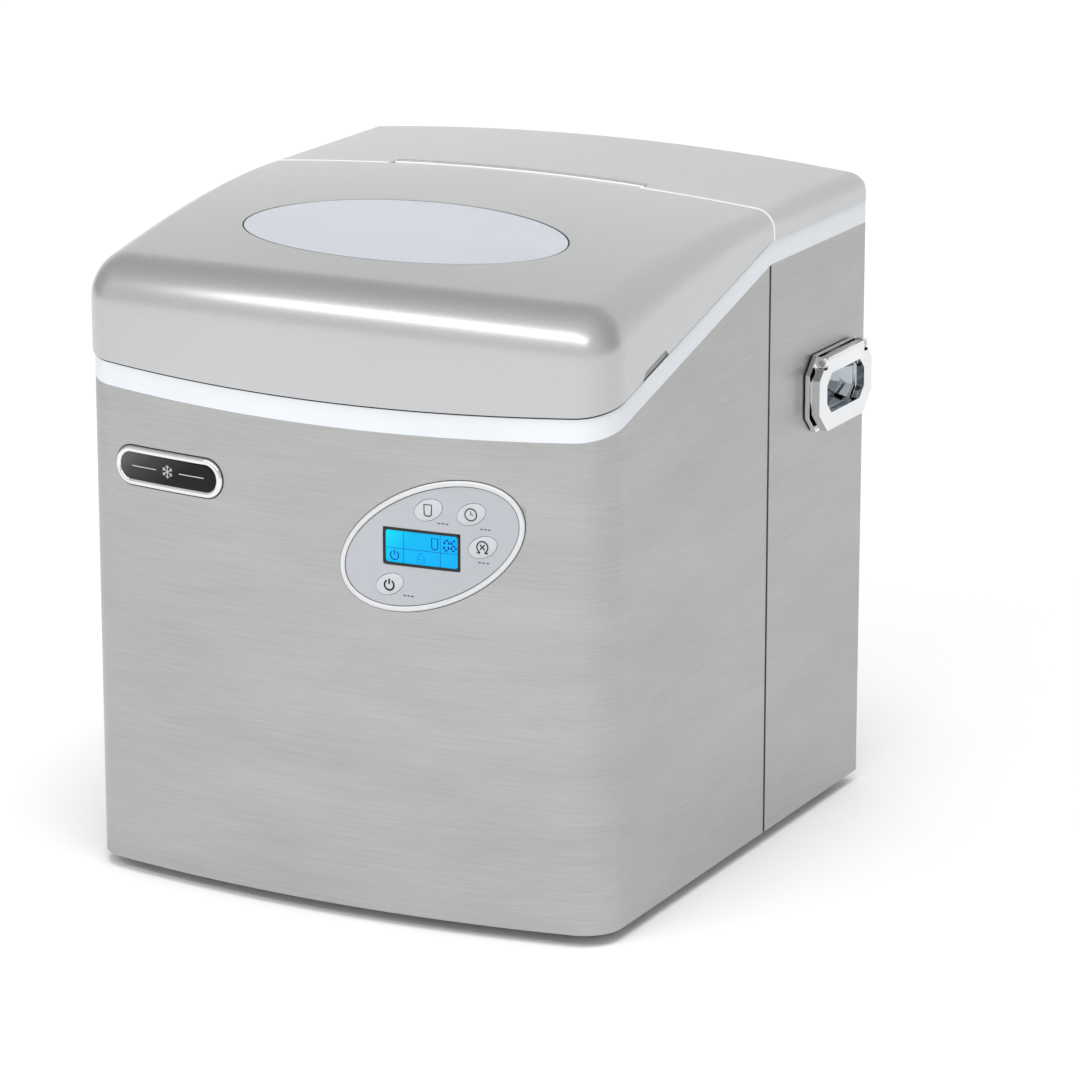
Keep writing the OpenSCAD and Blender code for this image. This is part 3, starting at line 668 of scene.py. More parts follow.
def front_shell():
    """The bowed sheet, with an oval hole cut for the control panel."""
    outline = body_outline(0.0, SEAM_Y - SEAM_GAP)
    levels = 48
    rows = [[(x, y, FOOT_H + (rim_under(y) - FOOT_H) * k / levels) for x, y, _, _ in outline]
            for k in range(levels + 1)]
    points = [p for row in rows for p in row]
    obj = piece("front_shell_sheet", points, grid_faces(len(rows), len(outline)),
                "stainless", "housing", ["front_shell"])
    thicken(obj, SHEET_T)
    bake(obj)
    count, hidden, reach = 96, 1.6 * MM, 8 * MM
    hole = oval(BEZEL_A - hidden, BEZEL_B - hidden, BEZEL_TILT, count)
    ring = [on_bow(BEZEL, u, v, depth) for depth in (-reach, reach) for u, v, _, _ in hole]
    carve(obj, ring, grid_faces(2, count, closed=True) + end_caps(count, 2 * count))
    smooth(obj, 40)
    bevel(obj, 0.3 * MM, angle=50)


def rim_frame():
    """White band round the body, open over the ice bin."""
    outline = [(x, y) for x, y, _, _ in body_outline(0.0, REAR_Y)]
    outline += [(x, REAR_Y) for x in spread(HALF_W, -HALF_W, -8 * MM)[1:-1]]
    inner = [(min(max(x, TUB_LOW.x), TUB_HIGH.x), min(max(y, TUB_LOW.y), TUB_HIGH.y))
             for x, y in outline]
    levels = [(outline, 0.0), (outline, RIM_H), (inner, RIM_H), (inner, 0.0), (outline, 0.0)]
    rows = [[(x, y, rim_under(y) + lift) for x, y in loop] for loop, lift in levels]
    obj = weld("rim_band", [(rows, True)], "white_plastic", "housing", ["rim_frame"])
    outward(obj)
    smooth(obj)
    bevel(obj, 0.9 * MM, segments=3)


def lid_roll(x, y):
    """Radius of the lid's rolled edge: large round the front, small where it meets the cover."""
    start = FRONT_Y + 40 * MM
    return FRONT_ROLL_R + (SHOULDER_R - FRONT_ROLL_R) * ease((y - start) / (SEAM_Y - start))


def lid_foot(x, y):
    """Lower edge of the lid, with the finger notch in its right side."""
    notch_front, notch_rear, notch_h, ramp = -138 * MM, -103 * MM, 4.5 * MM, 4 * MM
    z = rim_under(y) + RIM_H + LID_GAP
    if x > HALF_W - 5 * MM and notch_front < y < notch_rear:
        z += notch_h * min(ease((y - notch_front) / ramp), ease((notch_rear - y) / ramp))
    return z


def lid():
    """One shell from its foot, over the rolled edge and in to the oval of the window."""
    rear = SEAM_Y - 0.1 * MM
    thin_edge = 4 * MM
    outline = body_outline(OVERHANG, rear, step=2 * MM)

    def inset(i, u, r):
        x, y, nx, ny = outline[i]
        return x - nx * u, y - ny * u

    rows = shoulder_rows(len(outline), inset, lid_roll, lid_top, lid_foot, walls=8, turns=14)
    edge = rows[-1]
    seam = [(x, rear, lid_top(x, rear)) for x in spread(edge[-1][0], edge[0][0], -3 * MM)[1:-1]]
    loop = edge + seam
    squash = WINDOW_A / WINDOW_B
    rings = []
    steps = 16
    for k in range(steps + 1):
        t = k / steps
        ring = []
        for x, y, _ in loop:
            a = math.atan2((y - WINDOW_Y) * squash, x)
            wx = WINDOW_A * math.cos(a)
            wy = WINDOW_Y + WINDOW_B * math.sin(a)
            px, py = x + (wx - x) * t, y + (wy - y) * t
            ring.append((px, py, lid_top(px, py)))
        rings.append(ring)
    obj = weld("lid_shell", [(rows, False), (rings, True)], "silver_plastic", "lid", ["lid"])
    group = obj.vertex_groups.new(name="wall")
    for v in obj.data.vertices:
        group.add([v.index], 0.3 if v.co.y > rear - thin_edge else 1.0, "REPLACE")
    thicken(obj, LID_T)
    obj.modifiers["wall"].vertex_group = "wall"
    smooth(obj, 45)
    bevel(obj, 0.45 * MM, segments=3, angle=50)
    lid_strip()
    lid_grip()


def strip_level(x):
    """Top of the hinge strip, just under the crown."""
    return TOP_Z - crown_drop(x) - 0.9 * MM


def lid_strip():
    """Tab and round barrel by which the lid turns, flush in the rear cover's pocket."""
    turns = 16
    tab_y, tab_z = -6.5 * MM, 1.0 * MM
    path = [(x, strip_level(x)) for x in spread(-STRIP_HALF, STRIP_HALF, 4 * MM)]
    stations = []
    for x, level in path:
        r = level - HINGE_Z
        profile = [(tab_y, tab_z), (tab_y, r)]
        for k in range(turns + 1):
            a = math.pi / 2 - math.pi * k / turns
            profile.append((r * math.cos(a), r * math.sin(a)))
        stations.append([(x, HINGE_Y + y, HINGE_Z + z) for y, z in profile])
    tube("lid_hinge_strip", stations, "silver_plastic", "lid")
    # Pale beads along both edges of the strip: painted highlights.
    for name, y in (("front", -5.5 * MM), ("rear", 2.4 * MM)):
        lip(f"hinge_strip_{name}_bead", "lid", path, HINGE_Y + y, 1.0 * MM, 0.75 * MM)


def lip(name, body, path, y, half_width, height):
    """Half-round bead over a path of (x, z) points, at a fixed depth y, near white as a painted
    highlight.
    """
    root, turns = -0.5 * MM, 8
    profile = [(height * math.sin(math.pi * k / turns), -half_width * math.cos(math.pi * k / turns))
               for k in range(turns + 1)]
    profile = [(root, -half_width), *profile, (root, half_width)]
    rows = []
    for i, (x, z) in enumerate(path):
        x0, z0 = path[max(i - 1, 0)]
        x1, z1 = path[min(i + 1, len(path) - 1)]
        length = math.hypot(x1 - x0, z1 - z0)
        nx, nz = (z0 - z1) / length, (x1 - x0) / length
        rows.append([(x + nx * off, y + dy, z + nz * off) for off, dy in profile])
    tube(name, rows, "silver_plastic", body, finish=EDGE_HIGHLIGHT_WHITE, angle=50)


def seam_lips():
    """Moulded lips along the rear cover's front edge, on both sides of the hinge strip, pale as a
    painted highlight of the seam.
    """
    half, r, turns = COVER_HIGH.x, SHOULDER_R, 12
    for name, sign in (("left", -1), ("right", 1)):
        path = [(x, cover_top(x, 0.0)) for x in spread(STRIP_HALF + 1 * MM, half - r, 4 * MM)]
        for k in range(1, turns + 1):
            a = math.pi / 2 * (1 - k / turns)
            x = half - r * (1 - math.cos(a))
            path.append((x, cover_top(x, 0.0) - r * (1 - math.sin(a))))
        path += [(half, z) for z in spread(path[-1][1], COVER_LOW.z + 0.5 * MM, -4 * MM)[1:]]
        path = [(sign * x, z) for x, z in path]
        if sign < 0:
            path.reverse()
        lip(f"{name}_seam_lip", "housing", path, COVER_LOW.y + 0.6 * MM, 0.8 * MM, 0.4 * MM)


def lid_grip():
    """Ribbed pad set back in the finger notch, dark grey as painted shade of the notch."""
    x = HALF_W + OVERHANG - 1.4 * MM
    front, length, back, top = -139 * MM, 37 * MM, -2.0 * MM, 8 * MM
    ribs, per_rib = 9, 4
    rows = []
    for k in range(ribs * per_rib + 1):
        y = front + length * k / (ribs * per_rib)
        wave = (0.5 + 0.5 * math.cos(2 * math.pi * k / per_rib)) * 0.5 * MM
        z = rim_under(y) + RIM_H + 0.9 * MM
        profile = ((0.0, 0.0), (wave * 0.6, 0.4 * MM), (wave, 3 * MM), (wave, 6 * MM),
                   (-0.8 * MM, top), (back, top), (back, 0.0))
        rows.append([(x + dx, y, z + dz) for dx, dz in profile])
    tube("lid_grip_pad", rows, "silver_plastic", "lid", finish=NOTCH_SHADE_GREY)


def lid_window():
    """Milky pane, flush in the lid, with a dark seal round its edge."""
    count, rings = 160, 14
    gap, sunk = 0.9 * MM, 2.3 * MM

    def lid_oval(shrink, scale, drop):
        ring = []
        for i in range(count):
            a = 2 * math.pi * i / count
            x = (WINDOW_A - shrink) * scale * math.cos(a)
            y = WINDOW_Y + (WINDOW_B - shrink) * scale * math.sin(a)
            ring.append((x, y, lid_top(x, y) - drop))
        return ring

    rows = [lid_oval(gap, 1 - 0.96 * k / rings, 0.15 * MM) for k in range(rings + 1)]
    points = [p for row in rows for p in row]
    faces = grid_faces(len(rows), count, closed=True)
    faces.append(tuple(range(len(points) - count, len(points))))
    pane = piece("lid_window_pane", points, faces, "clear_window", "lid", ["lid_window"])
    outward(pane)
    if pane.data.polygons[0].normal.z < 0:
        pane.data.flip_normals()
    thicken(pane, 2.2 * MM)
    smooth(pane, 45)
    bevel(pane, 0.3 * MM, angle=50)
    seal = [lid_oval(shrink, 1.0, drop) for shrink, drop in
            ((0.0, sunk), (0.0, 0.35 * MM), (gap / 2, 0.22 * MM), (gap, 0.35 * MM),
             (gap, sunk), (0.0, sunk))]
    ring = weld("lid_window_seal", [(seal, True)], "black_rubber", "lid", [])
    outward(ring)
    smooth(ring, 50)


def rear_cover():
    """Crowned cover with rounded shoulders and an open pocket for the lid's hinge strip."""
    half, back, front = COVER_HIGH.x, COVER_HIGH.y, COVER_LOW.y
    pocket_x, pocket_y = STRIP_HALF + 0.6 * MM, HINGE_Y + 7.6 * MM
    r = SHOULDER_R
    ys = spread(front, pocket_y, 3 * MM) + spread(pocket_y, back - r, 6 * MM)[1:]
    xs = (spread(-half + r, -pocket_x, 5 * MM) + spread(-pocket_x, pocket_x, 5 * MM)[1:]
          + spread(pocket_x, half - r, 5 * MM)[1:])
    power, turns = 2 / 5, 12
    quarter = [math.pi / 2 * k / turns for k in range(1, turns)]

    def corner(side, a, rho):
        cx, cy = side * (half - r), back - r
        return cx + side * rho * math.cos(a) ** power, cy + rho * math.sin(a) ** power

    places = [("side", 1, y) for y in ys] + [("corner", 1, a) for a in quarter]
    places += [("rear", 0, x) for x in reversed(xs)]
    places += [("corner", -1, a) for a in reversed(quarter)]
    places += [("side", -1, y) for y in reversed(ys)]

    def inset(i, u, r):
        kind, side, value = places[i]
        if kind == "side":
            return side * (half - u), value
        if kind == "rear":
            return value, back - u
        return corner(side, value, r - u)

    rows = shoulder_rows(len(places), inset, lambda x, y: r, cover_top,
                         lambda x, y: COVER_LOW.z + 0.2 * MM, walls=4, turns=turns)
    obj = weld("rear_cover_shell", [(rows, False)], "silver_plastic", "housing", ["rear_cover"])
    with edited(obj.data) as bm:
        grid = {(x, y): bm.verts.new((x, y, cover_top(x, y))) for x in xs for y in ys}
        for x0, x1 in zip(xs, xs[1:]):
            for y0, y1 in zip(ys, ys[1:]):
                if abs(x0 + x1) / 2 < pocket_x and y1 <= pocket_y + 0.01 * MM:
                    continue
                bm.faces.new([grid[x0, y0], grid[x1, y0], grid[x1, y1], grid[x0, y1]])
        for v in [v for v in bm.verts if not v.link_faces]:
            bm.verts.remove(v)
        bmesh.ops.remove_doubles(bm, verts=bm.verts, dist=0.01 * MM)
        face_up(bm)
    thicken(obj, LID_T)
    smooth(obj, 45)
    bevel(obj, 1.0 * MM, segments=4, angle=50)
    pocket_floor(pocket_x, pocket_y)


def pocket_floor(half, back):
    """Trough of the rear cover in which the lid's barrel turns."""
    radius, overlap, turns = 8.3 * MM, 1 * MM, 10
    angles = [math.radians(-8 - 130 * k / turns) for k in range(turns + 1)]
    profile = [(back + overlap, HINGE_Z + 4 * MM)]
    profile += [(HINGE_Y + radius * math.cos(a), HINGE_Z + radius * math.sin(a)) for a in angles]
    rows = [[(x, y, z) for y, z in profile] for x in (-half - overlap, half + overlap)]
    points = [p for row in rows for p in row]
    count = len(rows[0])
    obj = piece("rear_cover_pocket", points, grid_faces(2, count), "silver_plastic", "housing")
    thicken(obj, 1.2 * MM)
    smooth(obj)


# ---- controls and badge, laid on the bow ----

def turned(u, v, angle):
    """The point (u, v) turned about the origin."""
    return (u * math.cos(angle) - v * math.sin(angle), u * math.sin(angle) + v * math.cos(angle))


def on_bow(centre, u, v, depth):
    """Point at arc length u and height v from a centre on the bow, depth out from the metal."""
    a = (centre[0] + u) / BOW_R
    r = BOW_R + depth
    return (r * math.sin(a), BOW_CY - r * math.cos(a), centre[1] + v)


def with_normals(points):
    """A closed outline of (u, v) as (u, v, nu, nv), its normals pointing outwards."""
    out = []
    for i, (u, v) in enumerate(points):
        u0, v0 = points[i - 1]
        u1, v1 = points[(i + 1) % len(points)]
        length = math.hypot(u1 - u0, v1 - v0)
        out.append((u, v, (v1 - v0) / length, (u0 - u1) / length))
    return out


def oval(a, b, tilt, count):
    return with_normals([turned(a * math.cos(2 * math.pi * i / count),
                                b * math.sin(2 * math.pi * i / count), tilt)
                         for i in range(count)])


def rounded(w, h, r, count=8):
    """Outline of a rectangle with rounded corners."""
    points = []
    for k, (su, sv) in enumerate(((1, 1), (-1, 1), (-1, -1), (1, -1))):
        for i in range(count + 1):
            a = math.pi / 2 * (k + i / count)
            points.append((su * (w / 2 - r) + r * math.cos(a), sv * (h / 2 - r) + r * math.sin(a)))
    return with_normals(dense(points))


def dense(points, step=2.5 * MM):
    """Adds points along the long straight stretches of a closed outline."""
    out = []
    for i, (u, v) in enumerate(points):
        u1, v1 = points[(i + 1) % len(points)]
        parts = max(1, math.ceil(math.hypot(u1 - u, v1 - v) / step))
        out += [(u + (u1 - u) * k / parts, v + (v1 - v) * k / parts) for k in range(parts)]
    return out


def bow_ring(name, centre, outline, profile, slot, nodes, finish=None):
    """Sweeps a closed profile of (offset outwards, depth) round an outline."""
    rows = [[on_bow(centre, u + nu * off, v + nv * off, depth) for u, v, nu, nv in outline]
            for off, depth in profile + profile[:1]]
    obj = weld(name, [(rows, True)], slot, "housing", nodes)
    obj.data.materials[0] = finish or FINISHES[slot]
    outward(obj)
    smooth(obj, 50)


def bow_plate(name, body, centre, outline, profile, slot, nodes, crown=0.0):
    """A plate with the given edge profile, from its back to its front, crowned in the middle."""
    rows = [[on_bow(centre, u + nu * off, v + nv * off, depth) for u, v, nu, nv in outline]
            for off, depth in profile]
    off, depth = profile[-1]
    fills = 8
    for k in range(1, fills + 1):
        s = 1 - k / fills * 0.97
        rows.append([on_bow(centre, (u + nu * off) * s, (v + nv * off) * s,
                            depth + crown * (1 - s * s)) for u, v, nu, nv in outline])
    tube(name, rows, slot, body, nodes, angle=40)


def stroke(points, width, closed=False):
    """Left and right edges of a line of even width through (u, v) points."""
    edges = []
    count = len(points)
    for i, (u, v) in enumerate(points):
        before = points[i - 1] if closed or i else points[i]
        after = points[(i + 1) % count] if closed or i < count - 1 else points[i]
        du, dv = after[0] - before[0], after[1] - before[1]
        length = math.hypot(du, dv)
        nu, nv = -dv / length * width / 2, du / length * width / 2
        edges.append(((u + nu, v + nv), (u - nu, v - nv)))
    return edges


def printed(name, body, centre, lines, depth, finish, slot):
    """Printed marks: lines of (points, width, closed) in mm, standing a hair above a surface."""
    lift = 0.09 * MM
    points, faces = [], []
    for line, width, closed in lines:
        for left, right in stroke(line, width, closed):
            start = len(points)
            for (u, v), d in ((left, depth - lift), (left, depth + lift),
                              (right, depth + lift), (right, depth - lift)):
                points.append(on_bow(centre, u * MM, v * MM, d))
        first = len(points) - 4 * len(line)
        faces += [tuple(first + i for i in f)
                  for f in grid_faces(len(line), 4, closed=True)]
        if closed:
            faces += [(start + j, start + (j + 1) % 4, first + (j + 1) % 4, first + j)
                      for j in range(4)]
        else:
            faces += [tuple(first + j for j in range(4)), tuple(start + 3 - j for j in range(4))]
    obj = piece(name, points, faces, slot, body, finish=finish)
    outward(obj)
    smooth(obj, 30)


def arc_line(cu, cv, r, start, end, count=20):
    """Points along an arc from one angle to another, in degrees."""
    angles = [math.radians(start + (end - start) * i / count) for i in range(count + 1)]
    return [(cu + r * math.cos(a), cv + r * math.sin(a)) for a in angles]


def ring_line(cu, cv, r, width, count=28):
    return (arc_line(cu, cv, r, 0, 360 * (count - 1) / count, count - 1), width, True)


def cup_icon(cu, cv, w, h, width):
    side = w / 2
    foot = [(cu + side * 0.9 - 0.9, cv - h / 2), (cu - side * 0.9 + 0.9, cv - h / 2)]
    return [([(cu - side, cv + h / 2), (cu + side, cv + h / 2), (cu + side * 0.92, cv - h / 2 + 0.9),
              *foot, (cu - side * 0.92, cv - h / 2 + 0.9)], width, True)]


def power_icon(cu, cv, r, width):
    return [(arc_line(cu, cv, r, 122, 418), width, False),
            ([(cu, cv + r * 0.15), (cu, cv + r * 1.25)], width, False)]


def clock_icon(cu, cv, r, width):
    return [ring_line(cu, cv, r, width),
            ([(cu, cv + r * 0.55), (cu, cv), (cu + r * 0.45, cv)], width * 0.8, False)]


def clean_icon(cu, cv, r, width):
    lines = [(arc_line(cu, cv, r, -62, 242, 26), width, False)]
    k = r * 0.42
    lines += [([(cu - k, cv - k), (cu + k, cv + k)], width, False),
              ([(cu - k, cv + k), (cu + k, cv - k)], width, False)]
    foot = cv - r * 1.02
    for side in (-1, 1):
        lines.append(([(cu + side * r * 0.4, foot), (cu + side * r, foot)], width, False))
    return lines


def bottle_icon(cu, cv, w, h, width):
    s, neck = w / 2, w / 5
    body = [(cu - s, cv - h / 2), (cu + s, cv - h / 2), (cu + s, cv + h * 0.1),
            (cu + neck, cv + h * 0.28), (cu + neck, cv + h / 2), (cu - neck, cv + h / 2),
            (cu - neck, cv + h * 0.28), (cu - s, cv + h * 0.1)]
    return [(body, width, True), ([(cu - s, cv - h * 0.15), (cu + s, cv - h * 0.15)], width, False)]


def digit(cu, cv, w, h, lit, width):
    """Seven-segment digit; lit names its segments by the usual letters a to g."""
    s, t, gap = w / 2, h / 2, width * 0.7
    lean = 0.08
    ends = {"a": ((-s + gap, t), (s - gap, t)), "b": ((s, t - gap), (s, gap)),
            "c": ((s, -gap), (s, -t + gap)), "d": ((-s + gap, -t), (s - gap, -t)),
            "e": ((-s, -gap), (-s, -t + gap)), "f": ((-s, t - gap), (-s, gap)),
            "g": ((-s + gap, 0), (s - gap, 0))}
    return [([(cu + u + v * lean, cv + v) for u, v in ends[k]], width, False) for k in lit]


def controls():
    """Oval ring, panel, display and keys, with their symbols and three dashes beside each key."""
    edge = RING_W / 2
    bow_ring("bezel_ring", BEZEL, oval(BEZEL_A - edge, BEZEL_B - edge, BEZEL_TILT, 160),
             [(-edge, -0.6 * MM), (-edge, 0.95 * MM), (-edge + 0.35 * MM, 1.25 * MM),
              (-0.5 * MM, 1.4 * MM), (0.5 * MM, 1.4 * MM), (edge - 0.45 * MM, 1.2 * MM),
              (edge - 0.1 * MM, 0.7 * MM), (edge, 0.05 * MM), (edge, -0.05 * MM)],
             "bezel_silver", ["control_bezel"])
    half, low = 0.22 * MM, -0.2 * MM
    for name, side, high in (("outer", 1, 0.2 * MM), ("inner", -1, 0.72 * MM)):
        shift = side * (edge + 0.2 * MM) - edge
        bow_ring(f"bezel_{name}_shadow_line", BEZEL,
                 oval(BEZEL_A + shift, BEZEL_B + shift, BEZEL_TILT, 160),
                 [(-half, low), (-half, high), (half, high), (half, low)], "black_rubber", [])
    soften("control_panel", 0.2 * MM)
    bow_ring("lcd_surround", LCD, rounded(LCD_W - LCD_BORDER, LCD_H - LCD_BORDER, 2.6 * MM),
             [(-LCD_BORDER / 2, -1 * MM), (-LCD_BORDER / 2, 0.7 * MM), (-0.5 * MM, 0.9 * MM),
              (0.5 * MM, 0.9 * MM), (LCD_BORDER / 2, 0.65 * MM), (LCD_BORDER / 2, -1 * MM)],
             "gloss_black", ["lcd_frame"], FRAME_BLACK)
    inner_w, inner_h = LCD_W - 2 * LCD_BORDER, LCD_H - 2 * LCD_BORDER
    bow_plate("lcd_glass", "housing", LCD, rounded(inner_w, inner_h, 1.8 * MM),
              [(0.0, -2.5 * MM), (0.0, 0.2 * MM), (-0.15 * MM, 0.3 * MM)],
              "lcd_blue", ["lcd_display"])
    for name, centre in BUTTONS.items():
        bow_plate(f"{name}_pad", f"{name}_key", centre, oval(BUTTON_A, BUTTON_B, BEZEL_TILT, 72),
                  [(0.0, -2 * MM), (0.0, 0.62 * MM), (-0.9 * MM, 0.95 * MM), (-2.2 * MM, 1.1 * MM)],
                  "button_pad", [f"{name}_button"], crown=0.15 * MM)
    icon_depth = 1.28 * MM
    icons = {"select": cup_icon(0, 0, 5.0, 7.0, 0.6), "timer": clock_icon(0, 0, 3.7, 0.6),
             "clean": clean_icon(0, 0.3, 3.5, 0.7), "power": power_icon(0, -0.4, 3.1, 1.0)}
    for name, lines in icons.items():
        printed(f"{name}_icon", f"{name}_key", BUTTONS[name], lines, icon_depth, DARK_INK, "button_pad")
    captions = {"select": (9.5, -7.5), "timer": (9.0, -8.5), "clean": (0.5, -9.5),
                "power": (12.5, -6.0)}
    marks = []
    pitch, half_dash = 2.6, 0.8
    for name, (du, dv) in captions.items():
        v = (BUTTONS[name][1] - BEZEL[1]) / MM + dv
        for k in (-1, 0, 1):
            u = (BUTTONS[name][0] - BEZEL[0]) / MM + du + k * pitch
            marks.append(([(u - half_dash, v), (u + half_dash, v)], 0.55, False))
    printed("panel_marks", "housing", BEZEL, marks, 0.6 * MM, DARK_INK, "panel_grey")
    lcd_contents(inner_w / MM, inner_h / MM)


def lcd_contents(w, h):
    """Dividing lines, a cup, two digits and faint symbols on the display, in mm."""
    left, right, level = -w / 4, w * 0.26, h * -0.05
    grid = [([(left, -h / 2), (left, 0), (left, h / 2)], 0.22, False),
            ([(right, -h / 2), (right, 0), (right, h / 2)], 0.22, False),
            ([(-w / 2 + w * k / 24, level) for k in range(25)], 0.22, False)]
    shown = grid + cup_icon(right - 3.6, level + 5.0, 4.1, 6.8, 0.6)
    shown += digit(right + 4.0, level + 4.9, 2.9, 6.2, "abcdef", 1.05)
    shown += digit(right + 8.7, level + 4.9, 2.9, 6.2, "acdefg", 1.05)
    shown += power_icon(left - 5.9, level - 4.6, 2.7, 0.62)
    printed("lcd_marks", "housing", LCD, shown, 0.3 * MM, LCD_INK, "lcd_blue")
    printed("lcd_faint_marks", "housing", LCD, bottle_icon(left + 11.5, level - 4.7, 4.4, 6.0, 0.3),
            0.3 * MM, PALE_LCD_INK, "lcd_blue")


def badge():
    """Chrome ring and enamel plate with a generic snow crystal between two thin lines."""
    edge = BADGE_RING / 2
    outline = rounded(BADGE_W - BADGE_RING, BADGE_H - BADGE_RING,
                      (BADGE_H - BADGE_RING) / 2 - 0.01 * MM, 20)
    bow_ring("badge_ring", BADGE, outline,
             [(-edge, 0.0), (-edge, 1.3 * MM), (-edge + 0.5 * MM, 1.8 * MM), (-0.3 * MM, 2.0 * MM),
              (0.5 * MM, 1.95 * MM), (edge - 0.6 * MM, 1.5 * MM), (edge - 0.15 * MM, 0.8 * MM),
              (edge, 0.0)], "chrome", ["badge_frame"])
    bow_ring("badge_shadow_line", BADGE,
             rounded(BADGE_W + 0.5 * MM, BADGE_H + 0.5 * MM, BADGE_H / 2 + 0.2 * MM, 20),
             [(-0.3 * MM, -0.1 * MM), (-0.3 * MM, 0.35 * MM), (0.3 * MM, 0.2 * MM),
              (0.3 * MM, -0.1 * MM)], "black_rubber", [])
    bow_plate("badge_enamel_plate", "housing", BADGE,
              rounded(BADGE_W - 2 * BADGE_RING, BADGE_H - 2 * BADGE_RING,
                      BADGE_H / 2 - BADGE_RING - 0.01 * MM, 16),
              [(0.0, 0.1 * MM), (0.0, 1.0 * MM), (-0.3 * MM, 1.15 * MM)], "gloss_black",
              ["badge_plate"], crown=0.05 * MM)
    arms = []
    r, fork, twig = 4.2, 0.58, 1.5
    for k in range(6):
        angle = 60 * k + 30
        u, v = turned(r, 0.0, math.radians(angle))
        arms.append(([(0, 0), (u, v)], 0.5, False))
        for side in (-1, 1):
            du, dv = turned(twig, 0.0, math.radians(angle + side * 50))
            arms.append(([(fork * u, fork * v), (fork * u + du, fork * v + dv)], 0.42, False))
    line_start, line_length, parts = 9, 19, 12
    for side in (-1, 1):
        line = [(side * (line_start + line_length * i / parts), 0) for i in range(parts + 1)]
        arms.append((line, 0.5, False))
    printed("badge_snow_crystal", "housing", BADGE, arms, 1.22 * MM, SILVER_INK, "gloss_black")


# ---- side handles ----

def octagon(length, height, cut):
    """Rectangle with its corners cut off, as (y, z) points."""
    a, b = length / 2, height / 2
    return [(a, b - cut), (a - cut, b), (cut - a, b), (-a, b - cut),
            (-a, cut - b), (cut - a, -b), (a - cut, -b), (a, cut - b)]


CUP_LEVELS = [(octagon(56.6, 26.6, 7), 3.2), (octagon(50, 21, 6), -5), (octagon(30, 7, 2), -13.5)]


def handle(side, sign):
    """A handle's CAD pieces with rounded edges, and the chrome cup behind its bail, its chrome darkened
    as painted shade of the recess.
    """
    low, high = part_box(f"{side}_handle_base")
    y0, z0 = (low.y + high.y) / 2, (low.z + high.z) / 2
    for part, width in (("base", 1.1), ("bail", 1.2), ("gasket", 0.2), ("pin", 0.3)):
        soften(f"{side}_handle_{part}", width * MM)
    points = [(sign * (HALF_W + out * MM), y0 + y * MM, z0 + z * MM)
              for loop, out in CUP_LEVELS for y, z in loop]
    faces = grid_faces(len(CUP_LEVELS), 8, closed=True)
    faces.append(tuple(range(len(points) - 8, len(points))))
    cup = piece(f"{side}_handle_cup", points, faces, "chrome", "housing", finish=CUP_SHADED_CHROME)
    outward(cup)
    if cup.data.polygons[-1].normal.x * sign < 0:
        cup.data.flip_normals()
    thicken(cup, 0.6 * MM)
    bevel(cup, 0.4 * MM, angle=12)


# ---- everything else keeps its CAD shape: EDGES with rounded edges, by radius in mm ----

EDGES = {
    0.25: ["back_panel", "hinge_pin", "drain_seal",
           "display_board", "control_board", "back_screws", "condenser"],
    0.5: ["base_pan", "lid_liner", "ice_rake", "ice_sensors", "evaporator", "cord_gland",
          "drain_port", "fan_blade", "filter_drier", "water_tray", "fan_shroud"],
    0.8: ["front_left_foot", "front_right_foot", "rear_left_foot", "rear_right_foot",
          "ice_basket", "water_float", "water_pump", "drain_cap", "fan_motor", "tray_motor",
          "compressor_grommets", "compressor"],
    1.2: ["inner_tub"],
}
PLAIN = ["left_side_panel", "right_side_panel", "water_hose", "discharge_tube",
         "suction_tube", "drain_hose"]


def remaining_nodes():
    for width, names in EDGES.items():
        for node in names:
            soften(node, width * MM)
    for node in PLAIN:
        for used in frame["nodes"][node].material_slots:
            used.material = FINISHES[SLOT_OF[node]]


# ---- studio ----

SKY = [(0.0, 0.86), (0.1, 0.84), (0.26, 0.74), (0.42, 0.50), (0.6, 0.42), (0.76, 0.58),
       (0.88, 1.02), (0.94, 1.45), (1.0, 1.5)]


def paper_floor():
    """White paper that lies under the object and bends up behind it."""
    mesh = bpy.data.meshes.new("floor")
    width, front, rear, bend, wall, turns = 7.0, -6.0, 2.4, 1.4, 3.5, 16
    profile = [(front, 0.0), (rear, 0.0)]
    for k in range(1, turns + 1):
        a = math.pi / 2 * k / turns
        profile.append((rear + bend * math.sin(a), bend * (1 - math.cos(a))))
    profile.append((rear + bend, wall))
    points = [(x, y, z) for y, z in profile for x in (-width, width)]
    mesh.from_pydata(points, [], grid_faces(len(profile), 2))
    mesh.shade_smooth()
    s = Shader("floor_paper", (0.90, 0.90, 0.90), 0.85)
    s.vary_color(s.noise(3), 0.006)
    mesh.materials.append(s.material)
    place_in_scene("floor", mesh)


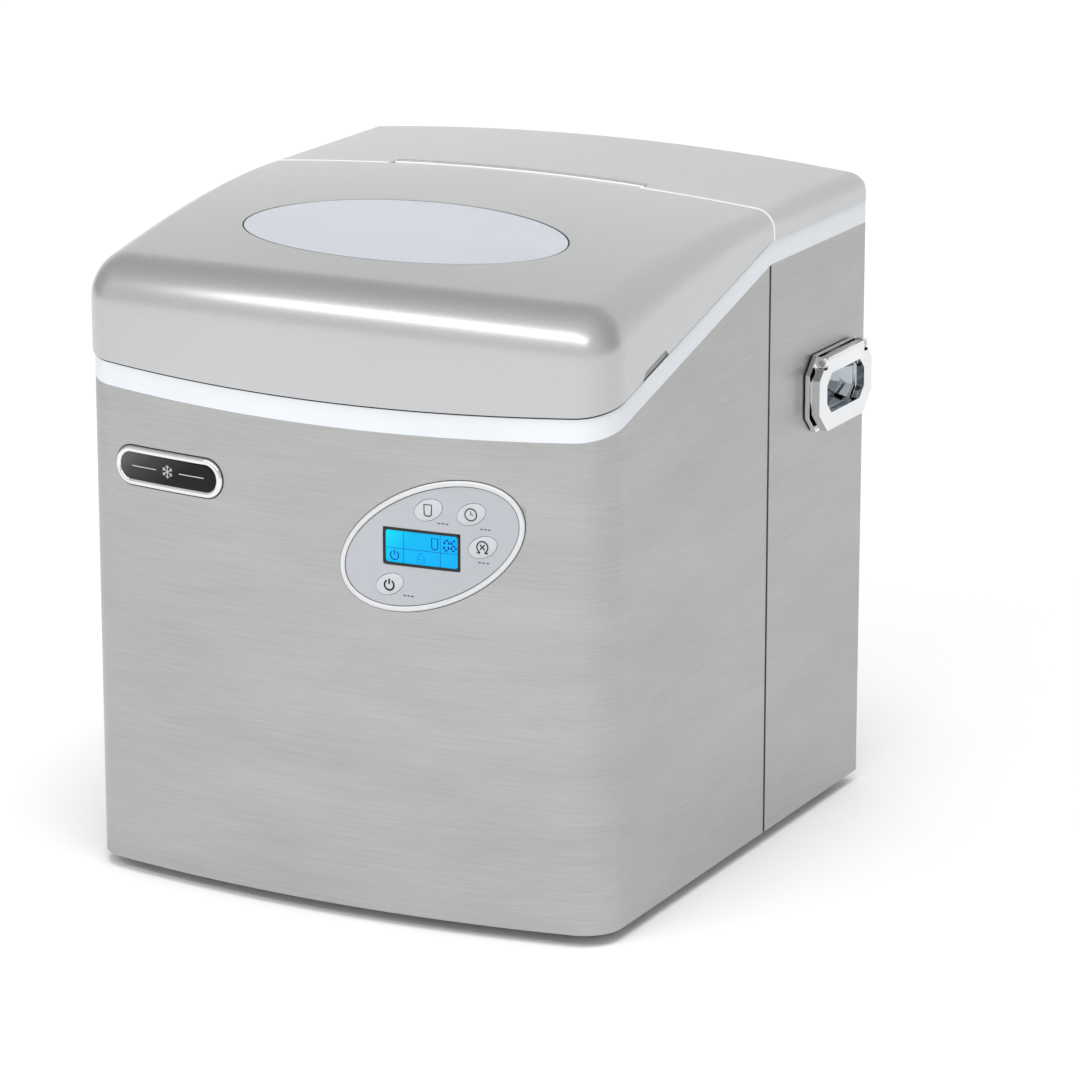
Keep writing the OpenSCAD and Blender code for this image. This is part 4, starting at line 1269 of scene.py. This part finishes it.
def sky_light():
    """Even light whose brightness follows SKY from the front, at 0, to the rear, at 1."""
    world = bpy.data.worlds.new("studio")
    world.use_nodes = True
    nodes, links = world.node_tree.nodes, world.node_tree.links
    axes = nodes.new("ShaderNodeSeparateXYZ")
    links.new(nodes.new("ShaderNodeTexCoord").outputs["Generated"], axes.inputs["Vector"])
    across = nodes.new("ShaderNodeMapRange")
    across.inputs["From Min"].default_value = -1.0
    links.new(axes.outputs["Y"], across.inputs["Value"])
    sky = nodes.new("ShaderNodeValToRGB")
    set_stops(sky, [(place, (level,) * 3) for place, level in SKY])
    links.new(across.outputs["Result"], sky.inputs["Fac"])
    links.new(sky.outputs["Color"], nodes["Background"].inputs["Color"])
    nodes["Background"].inputs["Strength"].default_value = 0.92
    bpy.context.scene.world = world


def lamps():
    """A strip whose reflection is the streak on the lid's front, and a sun that casts the shadow."""
    strip = bpy.data.lights.new("streak_strip", "AREA")
    strip.shape = "RECTANGLE"
    strip.size, strip.size_y = 2.8, 0.34
    strip.energy = 15
    lamp = place_in_scene("streak_strip", strip)
    lamp.location = (-0.2, -1.72, 1.58)
    towards = Vector((0.0, -0.2, 0.36)) - lamp.location
    lamp.rotation_euler = towards.to_track_quat("-Z", "Y").to_euler()
    sun = bpy.data.lights.new("soft_sun", "SUN")
    sun.energy = 1.7
    sun.angle = math.radians(40)
    lamp = place_in_scene("soft_sun", sun)
    lamp.rotation_euler = (math.radians(12), math.radians(10), 0.0)
    lamp.visible_glossy = False


def camera():
    """Set back from the object's middle by an azimuth and elevation, then shifted in its own plane."""
    azimuth, elevation = math.radians(27.3), math.radians(15.4)
    distance, across, up_shift = 3.192, 38 * MM, -9.8 * MM
    back = Vector((math.sin(azimuth) * math.cos(elevation),
                   -math.cos(azimuth) * math.cos(elevation), math.sin(elevation)))
    right = Vector((math.cos(azimuth), math.sin(azimuth), 0))
    up = back.cross(right)
    data = bpy.data.cameras.new("camera")
    data.sensor_width = 36
    data.lens = 166.7
    obj = place_in_scene("camera", data)
    obj.location = Vector((0, 0, 0.2)) + back * distance + right * across + up * up_shift
    obj.rotation_euler = (-back).to_track_quat("-Z", "Y").to_euler()
    bpy.context.scene.camera = obj
    bpy.context.scene.view_settings.view_transform = "Standard"


camera()
paper_floor()
sky_light()
lamps()
front_shell()
side_seams()
rim_frame()
lid_gap_shadow_strip()
lid()
lid_window()
rear_cover()
seam_lips()
controls()
badge()
handle("left", -1)
handle("right", 1)
remaining_nodes()
